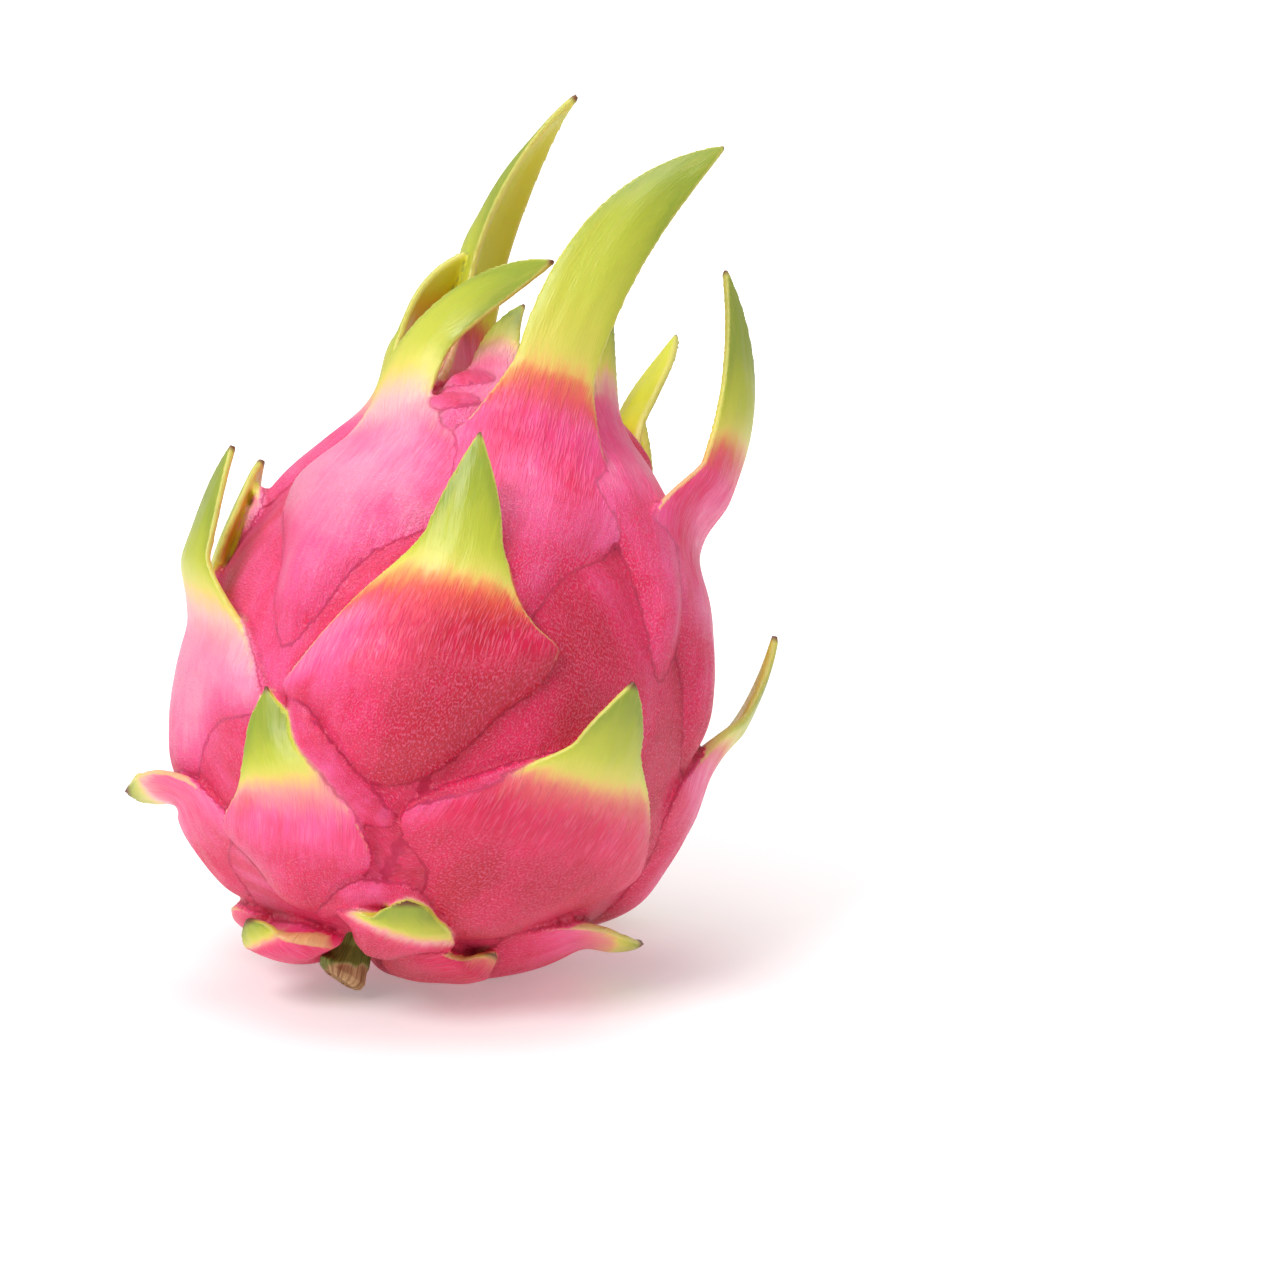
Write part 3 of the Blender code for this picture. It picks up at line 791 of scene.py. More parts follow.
class SkinMesh:
    """Points and triangles of the skin, with the smoothing that it needs."""

    def __init__(self, mesh: bpy.types.Mesh) -> None:
        """Reads a mesh.

        Args:
            mesh: The mesh, which is triangulated here.
        """
        mesh.calc_loop_triangles()
        self.points = points_of(mesh)
        faces = np.empty(len(mesh.loop_triangles) * 3, np.int32)
        mesh.loop_triangles.foreach_get("vertices", faces)
        self.triangles = faces.reshape(-1, 3)
        edges = np.empty(len(mesh.edges) * 2, np.int32)
        mesh.edges.foreach_get("vertices", edges)
        self.edges = edges.reshape(-1, 2)
        self.valence = np.bincount(self.edges.ravel(), minlength=len(self.points))

    def around(self, values: Array) -> Array:
        """The mean of each point's neighbours.

        Args:
            values: A number or vector for each point.

        Returns:
            The neighbours' mean for each point.
        """
        low, high = self.edges.T
        count = len(self.points)
        flat = values.reshape(count, -1)
        total = [
            np.bincount(low, flat[high, k], count) + np.bincount(high, flat[low, k], count)
            for k in range(flat.shape[1])
        ]
        return (np.stack(total, -1) / np.maximum(self.valence, 1)[:, None]).reshape(values.shape)

    def normals(self) -> Array:
        """The outward normal at each point.

        Returns:
            The normals.
        """
        a, b, c = (self.points[self.triangles[:, k]] for k in range(3))
        face = np.cross(b - a, c - a)
        count = len(self.points)
        total = np.zeros((count, 3))
        for k in range(3):
            for axis in range(3):
                total[:, axis] += np.bincount(self.triangles[:, k], face[:, axis], count)
        return unit(total)

    def relax(self, rounds: int, inward: float = 0.5, outward: float = -0.52) -> None:
        """Smooths without shrinking.

        Args:
            rounds: Number of double steps.
            inward: Share of the way to the neighbours' mean.
            outward: The step back.
        """
        for _ in range(rounds):
            for share in (inward, outward):
                self.points += share * (self.around(self.points) - self.points)

    def hollows(self, normals: Array) -> Array:
        """Returns how far below its neighbours' mean each point lies, along its normal."""
        return np.einsum("ij,ij->i", self.around(self.points) - self.points, normals)

    def fill_creases(self, rounds: int, share: float = 0.6) -> None:
        """Rounds the bottoms of the creases, and leaves ridges alone.

        Args:
            rounds: Number of steps.
            share: Share of the way to the neighbours' mean.
        """
        for _ in range(rounds):
            normals = self.normals()
            self.points += share * np.clip(self.hollows(normals), 0, None)[:, None] * normals

    def creases(self, spread: int = 12) -> Array:
        """How deep each point lies in a crease; the finish darkens the skin by it as painted shade.

        Args:
            spread: Steps over which a crease shades its banks.

        Returns:
            A depth for each point, 0 on ridges and open skin.
        """
        depth = self.hollows(self.normals())
        for _ in range(spread):
            depth = 0.5 * depth + 0.5 * self.around(depth)
        return np.clip(depth, 0, None)


@dataclass
class FruitSkin:
    """The rind with all of its scales, as one skin."""

    form: ScaleForm = field(default_factory=ScaleForm)
    lean: Lean = field(default_factory=Lean)
    voxel: float = 0.42 * MM
    most_triangles: int = 190_000
    relax_rounds: int = 6
    fillet_rounds: int = 16
    look_out: float = 0.6 * MM
    dents: float = 0.35 * MM
    wrinkles: float = 0.16 * MM
    dent_size: float = 9.0 * MM
    wrinkle_rate: Place = (0.62, 0.12, 1.0)
    relief_from_rim: tuple[float, float] = (0.8, 4.0)
    seeds: tuple[int, int] = (11, 12)
    lowest: float = 0.05 * MM
    crease_depth: float = 0.011 * MM
    blur_rounds: tuple[tuple[Layer, int], ...] = (
        (Layer.DEEP, 36), (Layer.WARM, 16), (Layer.TILE, 6), (Layer.RIPE, 3), (Layer.RIM, 1),
    )

    def sheets(self) -> list[Sheet]:
        """The sheets that the skin is made of.

        Returns:
            The body's sheet, and one for each scale and fold.
        """
        scales = [self.form.sheet(scale, k + 1) for k, scale in enumerate(SCALES)]
        folds = [self.form.fold_sheet(fold, k) for k, fold in enumerate(FOLDS)]
        return [self.form.rind_sheet(), *scales, *folds]

    def build(self, finish: bpy.types.Material) -> bpy.types.Object:
        """Makes the skin: joins the sheets, smooths them and gives each point its finish values.

        Args:
            finish: The skin's material.

        Returns:
            The skin's object.
        """
        sheets = self.sheets()
        starts = np.cumsum([0] + [len(s.places) for s in sheets])
        places = np.concatenate([s.places for s in sheets])
        normals = np.concatenate([s.normals for s in sheets])
        triangles = np.concatenate([s.triangles + start for s, start in zip(sheets, starts)])
        values = {layer: np.concatenate([s.values[layer] for s in sheets]) for layer in sheets[0].values}

        skin = self.joined(places, triangles)
        surface = SkinMesh(skin.data)
        surface.relax(self.relax_rounds)
        surface.fill_creases(self.fillet_rounds)
        # crease depth, carried for the painted crease shade
        crease_shade = surface.creases()
        skin.data.vertices.foreach_set("co", surface.points.ravel())
        carry(skin.data, Layer.CREASE, (crease_shade / self.crease_depth).clip(0, 1))
        self.thin(skin)
        self.dress(skin, places, normals, triangles, values)
        self.lay(skin)
        skin.data.materials.append(finish)
        skin.data.shade_smooth()
        return skin

    def joined(self, places: Array, triangles: Array) -> bpy.types.Object:
        """Joins closed sheets that run into each other to one closed skin.

        Args:
            places: Points of all sheets.
            triangles: Their triangles.

        Returns:
            An object with the skin's mesh.
        """
        mesh = bpy.data.meshes.new("fruit_skin")
        mesh.from_pydata(places.tolist(), [], triangles.tolist())
        skin = put("fruit_skin", mesh)
        remesh = skin.modifiers.new("join", "REMESH")
        remesh.mode = "VOXEL"
        remesh.voxel_size = self.voxel
        self.apply(skin)
        return skin

    def thin(self, skin: bpy.types.Object) -> None:
        """Takes away triangles where the skin is plain.

        Args:
            skin: The skin.
        """
        skin.data.calc_loop_triangles()
        share = self.most_triangles / len(skin.data.loop_triangles)
        log.info("skin: %d triangles, keeps %.2f", len(skin.data.loop_triangles), share)
        if share < 1:
            decimate = skin.modifiers.new("thin", "DECIMATE")
            decimate.ratio = share
            self.apply(skin)

    def apply(self, thing: bpy.types.Object) -> None:
        """Applies an object's modifiers to its mesh.

        Args:
            thing: The object.
        """
        bpy.context.view_layer.update()
        graph = bpy.context.evaluated_depsgraph_get()
        mesh = bpy.data.meshes.new_from_object(thing.evaluated_get(graph))
        old = thing.data
        thing.modifiers.clear()
        thing.data = mesh
        bpy.data.meshes.remove(old)

    def dress(
        self,
        skin: bpy.types.Object,
        places: Array,
        normals: Array,
        triangles: Array,
        values: dict[Layer, Array],
    ) -> None:
        """Gives each point of the skin the finish values of the sheet point that it came from.

        Args:
            skin: The skin.
            places: Points of the sheets.
            normals: Their outward normals.
            triangles: Their triangles.
            values: Their finish values.
        """
        surface = SkinMesh(skin.data)
        above = places + self.look_out * normals
        tree = BVHTree.FromPolygons(above.tolist(), triangles.tolist(), all_triangles=True)
        probes = surface.points + self.look_out * surface.normals()
        found = [tree.find_nearest(probe) for probe in probes.tolist()]
        hits = np.array([tuple(hit[0]) for hit in found])
        corners = triangles[np.array([hit[2] for hit in found])]
        weights = self.weights(hits, above[corners])
        blended = {}
        for layer, value in values.items():
            spread = np.einsum("ij,ijk->ik", weights, value[corners])
            for _ in range(dict(self.blur_rounds).get(layer, 0)):
                spread = surface.around(spread)
            blended[layer] = spread if spread.shape[1] == 3 else spread[:, 0]
            carry(skin.data, layer, blended[layer])
        self.emboss(skin, surface, blended[Layer.GROWTH], blended[Layer.RIM])

    def emboss(self, skin: bpy.types.Object, surface: SkinMesh, growth: Array, rim: Array) -> None:
        """Gives the skin its dents, and wrinkles along the growth.

        Args:
            skin: The skin.
            surface: Its points.
            growth: Where each of them lies in its scale, in millimetres.
            rim: How far each of them is from its scale's margin, in millimetres.
        """
        dents = Lumps(self.seeds[0]).at(surface.points / self.dent_size)
        wrinkles = Lumps(self.seeds[1]).at(growth * np.array(self.wrinkle_rate))
        height = (self.dents * dents + self.wrinkles * wrinkles) * smooth_step(*self.relief_from_rim, rim)
        points = surface.points + height[:, None] * surface.normals()
        skin.data.vertices.foreach_set("co", points.ravel())

    def weights(self, hits: Array, corners: Array) -> Array:
        """Shares of a triangle's three corners in points on it.

        Args:
            hits: The points.
            corners: The corners of each point's triangle.

        Returns:
            Three shares for each point.
        """
        a, b, c = corners[:, 0], corners[:, 1], corners[:, 2]
        normal = np.cross(b - a, c - a)
        area = np.maximum(np.einsum("ij,ij->i", normal, normal), SMALLEST_AREA)
        second = np.einsum("ij,ij->i", np.cross(c - a, hits - a), -normal) / area
        third = np.einsum("ij,ij->i", np.cross(b - a, hits - a), normal) / area
        shares = np.clip(np.stack([1 - second - third, second, third], -1), 0, 1)
        return shares / shares.sum(1, keepdims=True)

    def lay(self, skin: bpy.types.Object) -> None:
        """Leans the skin as the fruit lies, and flattens it where it rests.

        Args:
            skin: The skin.
        """
        points = self.lean.placed(points_of(skin.data))
        points[:, 2] = np.maximum(points[:, 2], self.lowest)
        skin.data.vertices.foreach_set("co", points.ravel())
        skin.data.update()


@dataclass(frozen=True)
class StemStub:
    """The cut stem: a green waisted stub with a torn tan skin at its slanted end, and a small bud scar."""

    lean: Lean = field(default_factory=Lean)
    radius: float = 4.6 * MM
    top: float = -40.0 * MM
    end: float = -55.3 * MM
    shift: float = -3.9 * MM
    sway: float = 1.2 * MM
    slant: float = 0.3
    bud: float = 1.7 * MM
    steps: int = 90
    sides: int = 120
    waist_at: tuple[float, ...] = (0.0, 0.35, 0.6, 0.8, 0.92, 0.98, 1.0)
    waist: tuple[float, ...] = (0.97, 0.92, 0.74, 0.9, 1.0, 0.9, 0.76)
    slant_power: int = 4
    ribs: int = 5
    rib_height: float = 0.05
    rib_turn: float = 1.0
    ribs_from: tuple[float, float] = (0.2, 0.6)
    lumps: float = 0.03
    lump_rate: tuple[float, float] = (2.6, 5.0)
    seeds: tuple[int, int] = (21, 22)
    skin_depth: float = 0.35 * MM
    bud_deg: float = 222.0
    bud_at: float = 0.86
    bud_spread: tuple[float, float] = (0.004, 0.05)
    sways_from: float = 0.35
    grown: float = 15.0
    face_growth: float = 9.0
    torn_deg: float = 322.0
    torn_edge: float = 0.96
    torn_least: float = -0.4
    torn_further: float = 0.22
    torn_ragged: float = 0.07
    torn_rate: tuple[float, float] = (2.2, 2.0)
    torn_width: float = 0.03
    cut_rings: tuple[tuple[float, float], ...] = (
        (0.93, -0.1), (0.82, 0.7), (0.6, 0.5), (0.42, 0.2), (0.3, 0.0), (0.12, 0.1),
    )

    def build(self, finish: bpy.types.Material) -> bpy.types.Object:
        """Makes the stub.

        Args:
            finish: Its material.

        Returns:
            The stub's object.
        """
        share = np.linspace(0, 1, self.steps)[:, None]
        turn = np.linspace(0, 2 * math.pi, self.sides, endpoint=False)[None, :]
        swell = np.interp(share, self.waist_at, self.waist)
        ribs = self.rib_height * np.cos(self.ribs * turn + self.rib_turn) * smooth_step(*self.ribs_from, share)
        rough = self.relief(self.seeds[0], share, turn, *self.lump_rate)
        torn = self.torn(share, turn)
        away = self.radius * (swell + ribs + self.lumps * rough) - self.skin_depth * torn
        facing = np.cos(turn - math.radians(self.bud_deg))
        high, wide = self.bud_spread
        away = away + self.bud * np.exp(-((share - self.bud_at) ** 2) / high - (1 - facing) / wide)
        drift = -self.sway * np.maximum(share - self.sways_from, 0)
        across, depth = away * np.cos(turn), away * np.sin(turn)
        height = self.top + share * (self.end - self.top) - self.slant * share**self.slant_power * across
        body = np.stack([self.shift + drift + across, drift + depth, height], -1)
        rings = np.concatenate([body, self.cut_face(body[-1])])[::-1]
        mesh = loft([self.lean.placed(rings)], "stem_stub_skin")
        face_rows = len(self.cut_rings)
        swing = turn * self.radius / MM + 0 * share
        growth = np.stack([swing, share * self.grown + 0 * turn, 0 * swing], -1)
        face_growth = np.repeat(growth[-1:], face_rows, 0)
        face_growth[..., 1] += self.face_growth * np.arange(1, face_rows + 1)[:, None]
        dryness = np.concatenate([torn, np.ones((face_rows, self.sides))])[::-1]
        carry(mesh, Layer.GROWTH, np.concatenate([growth, face_growth])[::-1].reshape(-1, 3))
        carry(mesh, Layer.RIPE, 1 - dryness.ravel())
        return dressed(mesh, finish)

    def relief(self, seed: int, share: Array, turn: Array, across: float, along: float) -> Array:
        """Random relief on the stub, without a seam.

        Args:
            seed: Seed of the relief.
            share: Shares of the stub's length.
            turn: Angles round it.
            across: Steps of the relief over its radius.
            along: Steps along it.

        Returns:
            Heights from -1 to 1, as (ring, point).
        """
        sheer = (across * np.cos(turn), across * np.sin(turn), along * share)
        spots = np.stack(np.broadcast_arrays(*sheer), -1)
        return Lumps(seed).at(spots.reshape(-1, 3)).reshape(self.steps, self.sides)

    def torn(self, share: Array, turn: Array) -> Array:
        """Where the green skin is torn off.

        Args:
            share: Shares of the stub's length.
            turn: Angles round it.

        Returns:
            0 where the skin is whole and 1 where it is off, as (ring, point).
        """
        ragged = self.relief(self.seeds[1], share, turn, *self.torn_rate)
        front = np.clip(np.cos(turn - math.radians(self.torn_deg)), self.torn_least, 1)
        edge = self.torn_edge - self.torn_further * front + self.torn_ragged * ragged
        return smooth_step(-self.torn_width, self.torn_width, share - edge)

    def cut_face(self, rim: Array) -> Array:
        """Rings over the cut end: a step in from the skin, and a pith that stands out a little.

        Args:
            rim: The stub's last ring.

        Returns:
            The rings, from the rim inward.
        """
        middle = rim.mean(0)
        rings = []
        for share, sink in self.cut_rings:
            ring = middle + (rim - middle) * share
            ring[:, 2] += sink * MM
            rings.append(ring)
        return np.array(rings)


@dataclass(frozen=True)
class DriedFlower:
    """The dried foot of the flower in the navel: a dished button with withered strips round it."""

    lean: Lean = field(default_factory=Lean)
    radius: float = 5.4 * MM
    foot: float = 49.6 * MM
    rim: float = 56.9 * MM
    strips: int = 7
    length: float = 8.0 * MM
    width: float = 3.4 * MM
    thickness: float = 0.7 * MM
    rooted: float = 4.5 * MM
    ring: float = 3.4 * MM
    bow: float = 1.6 * MM
    curl: float = 0.35 * MM
    sides: int = 96
    wrinkles: tuple[tuple[float, int], tuple[float, int]] = ((0.03, 17), (0.02, 29))
    rim_wave: float = 0.15 * MM
    rim_waves: int = 11
    side_inset: float = 0.985
    side_over: float = 0.9
    strip_sides: int = 20
    strip_narrows: float = 0.65
    strip_scatter: float = 0.25
    strip_uneven: float = 0.2
    strip_wave: float = 0.12
    strip_waves: int = 9
    growth_rate: tuple[float, float] = (0.4, 0.5)
    profile: tuple[tuple[float, float], ...] = (
        (1.0, 0.0), (1.0, 0.4), (0.98, 0.75), (0.92, 0.9), (0.85, 0.95),
        (0.68, 0.9), (0.5, 0.84), (0.35, 0.74), (0.25, 0.7), (0.1, 0.68),
    )

    def build(self, finish: bpy.types.Material) -> bpy.types.Object:
        """Makes the flower's foot.

        Args:
            finish: Its material.

        Returns:
            Its object.
        """
        parts = [self.button()] + [self.strip(k) for k in range(self.strips)]
        growth, start = [], 0
        for rings in parts:
            along, ringwise = np.indices(rings.shape[:2])
            swing, climb = self.growth_rate[0] * ringwise, self.growth_rate[1] * along
            growth.append(np.stack([swing, climb, 0 * along + start], -1).reshape(-1, 3))
            start += along.size
        mesh = loft([self.lean.placed(rings) for rings in parts], "flower_scar_skin")
        carry(mesh, Layer.GROWTH, np.concatenate(growth))
        carry(mesh, Layer.RIPE, np.zeros(start))
        return dressed(mesh, finish)

    def button(self) -> Array:
        """The dished button, wrinkled round its rim.

        Returns:
            Its rings.
        """
        turn = np.linspace(0, 2 * math.pi, self.sides, endpoint=False)
        rings = []
        (coarse, coarse_count), (fine, fine_count) = self.wrinkles
        for wide, high in self.profile:
            crumple = 1 + coarse * np.cos(coarse_count * turn + 3 * high) + fine * np.cos(fine_count * turn)
            away = self.radius * wide * crumple * (self.side_inset if wide > self.side_over else 1)
            wave = self.rim_wave * np.cos(self.rim_waves * turn) * high
            level = self.foot + high * (self.rim - self.foot) + wave
            rings.append(np.stack([away * np.cos(turn), away * np.sin(turn), level], -1))
        return np.array(rings)

    def strip(self, index: int, steps: int = 22) -> Array:
        """A withered strip, rooted in the button and curling in over it.

        Args:
            index: Its place in the ring.
            steps: Sections along it.

        Returns:
            Its rings.
        """
        turn = 2 * math.pi * (index + self.strip_scatter * math.sin(2.4 * index)) / self.strips
        outward = np.array([math.cos(turn), math.sin(turn), 0.0])
        side = np.array([-math.sin(turn), math.cos(turn), 0.0])
        length = self.length * (1 + self.strip_uneven * math.sin(1.7 * index))
        around = np.linspace(0, 2 * math.pi, self.strip_sides, endpoint=False)
        rings = []
        for share in np.linspace(0, 1, steps):
            reach = self.ring + self.bow * math.sin(math.pi * share)
            middle = outward * reach + np.array([0, 0, self.foot + self.rooted + share * length])
            wavy = 1 + self.strip_wave * math.sin(self.strip_waves * share + index)
            half = self.width / 2 * (1 - self.strip_narrows * share) * wavy
            curl = self.curl * np.cos(around * 2 + index) * share
            across, thick = half * np.cos(around), self.thickness / 2 * np.sin(around) + curl
            rings.append(middle + across[:, None] * side + thick[:, None] * outward)
        return np.array(rings)


class Shader:
    """A short way to write a material's or a group's nodes."""

    MIX_COLOUR_INPUTS = (0, 6, 7)
    MIX_COLOUR_OUTPUT = 2

    def __init__(self, tree: bpy.types.NodeTree) -> None:
        """Keeps the tree that the nodes go into."""
        self.tree = tree

    def node(self, kind: str, **settings: object) -> bpy.types.Node:
        """Adds a node.

        Args:
            kind: The node's type.
            settings: Its properties.

        Returns:
            The node.
        """
        made = self.tree.nodes.new(kind)
        for name, value in settings.items():
            setattr(made, name, value)
        return made

    def feed(self, socket: bpy.types.NodeSocket, value: object) -> None:
        """Links a socket to another one, or sets its value.

        Args:
            socket: The socket.
            value: What feeds it.
        """
        if isinstance(value, bpy.types.NodeSocket):
            self.tree.links.new(value, socket)
        else:
            socket.default_value = value

    def attribute(self, layer: Layer) -> bpy.types.NodeSocket:
        """Returns the value, or for the growth the vector, that the mesh carries."""
        made = self.node("ShaderNodeAttribute", attribute_name=layer.value)
        return made.outputs["Vector" if layer is Layer.GROWTH else "Fac"]

    def maths(self, operation: str, *values: object, clamp: bool = False) -> bpy.types.NodeSocket:
        """Adds a sum of one to three values.

        Args:
            operation: The Math node's operation.
            values: Sockets or numbers.
            clamp: Whether the result stays from 0 to 1.

        Returns:
            The result.
        """
        made = self.node("ShaderNodeMath", operation=operation, use_clamp=clamp)
        for socket, value in zip(made.inputs, values):
            self.feed(socket, value)
        return made.outputs[0]

    def spread(
        self, value: object, low: float, high: float, to_low: float = 0.0, to_high: float = 1.0
    ) -> bpy.types.NodeSocket:
        """Eases a value from one range to another.

        Args:
            value: The value.
            low: Start of its range.
            high: End of its range.
            to_low: Result at the start.
            to_high: Result at the end.

        Returns:
            The result.
        """
        made = self.node("ShaderNodeMapRange", interpolation_type="SMOOTHSTEP")
        names = ("Value", "From Min", "From Max", "To Min", "To Max")
        for name, number in zip(names, (value, low, high, to_low, to_high)):
            self.feed(made.inputs[name], number)
        return made.outputs[0]

    def noise(
        self, place: object, scale: float, detail: float = 2.0, rough: float = 0.5
    ) -> bpy.types.NodeSocket:
        """Adds a noise.

        Args:
            place: Where it is read.
            scale: How fine it is.
            detail: Its octaves.
            rough: Their strength.

        Returns:
            A value round 0.5.
        """
        made = self.node("ShaderNodeTexNoise")
        for name, value in (("Vector", place), ("Scale", scale), ("Detail", detail), ("Roughness", rough)):
            self.feed(made.inputs[name], value)
        return made.outputs["Fac"]

    def stretched(self, place: bpy.types.NodeSocket, stretch: Place) -> bpy.types.NodeSocket:
        """Scales the axes of a place.

        Args:
            place: The place.
            stretch: A factor for each axis.

        Returns:
            The scaled place.
        """
        made = self.node("ShaderNodeVectorMath", operation="MULTIPLY")
        self.feed(made.inputs[0], place)
        self.feed(made.inputs[1], stretch)
        return made.outputs[0]

    def blended(self, share: object, low: object, high: object, kind: str = "MIX") -> bpy.types.NodeSocket:
        """Mixes two colours.

        Args:
            share: How much of the second.
            low: The first.
            high: The second.
            kind: The blend type.

        Returns:
            The mixed colour.
        """
        made = self.node("ShaderNodeMix", data_type="RGBA", blend_type=kind)
        for number, value in zip(self.MIX_COLOUR_INPUTS, (share, low, high)):
            self.feed(made.inputs[number], value)
        return made.outputs[self.MIX_COLOUR_OUTPUT]

    def ramp(self, value: object, stops: Stops) -> bpy.types.NodeSocket:
        """Turns a value into a colour.

        Args:
            value: The value.
            stops: Places and colours.

        Returns:
            The colour.
        """
        made = self.node("ShaderNodeValToRGB")
        elements = made.color_ramp.elements
        while len(elements) < len(stops):
            elements.new(0.5)
        for element, (place, colour) in zip(elements, stops):
            element.position = place
            element.color = colour
        self.feed(made.inputs[0], value)
        return made.outputs[0]

    def bumped(self, height: bpy.types.NodeSocket, strength: float, depth: float) -> bpy.types.NodeSocket:
        """Adds a bump.

        Args:
            height: The relief.
            strength: How much of it shows.
            depth: Its depth in metres.

        Returns:
            The bumped normal.
        """
        made = self.node("ShaderNodeBump")
        for name, value in (("Strength", strength), ("Distance", depth), ("Height", height)):
            self.feed(made.inputs[name], value)
        return made.outputs[0]


def begin(name: str) -> tuple[bpy.types.Material, Shader, bpy.types.Node]:
    """Begins a material.

    Args:
        name: Its name.

    Returns:
        The material, its nodes and its shader.
    """
    made = bpy.data.materials.new(name)
    made.use_nodes = True
    return made, Shader(made.node_tree), made.node_tree.nodes["Principled BSDF"]


def paint(red: int, green: int, blue: int) -> Colour:
    """A colour as a painter names it, turned to light.

    Args:
        red: From 0 to 255, as a screen shows it.
        green: The same.
        blue: The same.

    Returns:
        Linear red, green, blue and full alpha.
    """
    parts = np.array([red, green, blue]) / SCREEN_FULL
    curved = ((parts + SCREEN_SHIFT) / (1 + SCREEN_SHIFT)) ** SCREEN_POWER
    return (*np.where(parts <= SCREEN_KNEE, parts / SCREEN_SLOPE, curved).tolist(), 1.0)


class Effects:
    """The node groups that several finishes share, built once."""

    SMALL_FLECKS: Place = (3.3, 2.1, 1.0)
    LARGE_FLECKS: Place = (1.9, 1.1, 1.0)
    STREAKS: Place = (2.6, 0.3, 1.0)
    FIBRES: Place = (1.3, 0.11, 1.0)
    CLOUDS: Place = (0.07, 0.05, 1.0)
    SMALL_SHOW = (0.46, 0.66)
    LARGE_SHOW = (0.58, 0.74, 0.0, 0.8)
    STREAKS_SHOW = (0.45, 0.66)

    def __init__(self) -> None:
        """Builds the groups."""
        self.grain = self.build_grain()

    def build_grain(self) -> bpy.types.NodeTree:
        """Fine grain that follows the growth: flecks, fibres and clouding.

        Returns:
            The group.
        """
        tree = bpy.data.node_groups.new("growth_grain", "ShaderNodeTree")
        tree.interface.new_socket("Place", in_out="INPUT", socket_type="NodeSocketVector")
        fineness = tree.interface.new_socket("Fineness", in_out="INPUT", socket_type="NodeSocketFloat")
        fineness.default_value = 1.0
        for name in ("Flecks", "Streaks", "Fibres", "Clouds"):
            tree.interface.new_socket(name, in_out="OUTPUT", socket_type="NodeSocketFloat")
        shader = Shader(tree)
        entry, leave = shader.node("NodeGroupInput"), shader.node("NodeGroupOutput")
        scaled = shader.node("ShaderNodeVectorMath", operation="SCALE")
        shader.feed(scaled.inputs[0], entry.outputs["Place"])
        shader.feed(scaled.inputs["Scale"], entry.outputs["Fineness"])
        place = scaled.outputs[0]
        small = shader.noise(shader.stretched(place, self.SMALL_FLECKS), 1.0, 1.0)
        large = shader.noise(shader.stretched(place, self.LARGE_FLECKS), 1.0, 2.0)
        flecks = shader.maths(
            "MAXIMUM", shader.spread(small, *self.SMALL_SHOW), shader.spread(large, *self.LARGE_SHOW)
        )
        lines = shader.noise(shader.stretched(place, self.STREAKS), 1.0, 1.5)
        streaks = shader.spread(lines, *self.STREAKS_SHOW)
        fibres = shader.noise(shader.stretched(place, self.FIBRES), 1.0, 4.0, 0.6)
        clouds = shader.noise(shader.stretched(place, self.CLOUDS), 1.0, 3.0, 0.55)
        outputs = (("Flecks", flecks), ("Streaks", streaks), ("Fibres", fibres), ("Clouds", clouds))
        for name, socket in outputs:
            shader.feed(leave.inputs[name], socket)
        return tree

    def place_grain(self, shader: Shader, place: object, fineness: float) -> bpy.types.Node:
        """Adds the grain group to a material.

        Args:
            shader: The material's nodes.
            place: Where the grain is read.
            fineness: How fine it is.

        Returns:
            The group's node.
        """
        made = shader.node("ShaderNodeGroup", node_tree=self.grain)
        shader.feed(made.inputs["Place"], place)
        shader.feed(made.inputs["Fineness"], fineness)
        return made


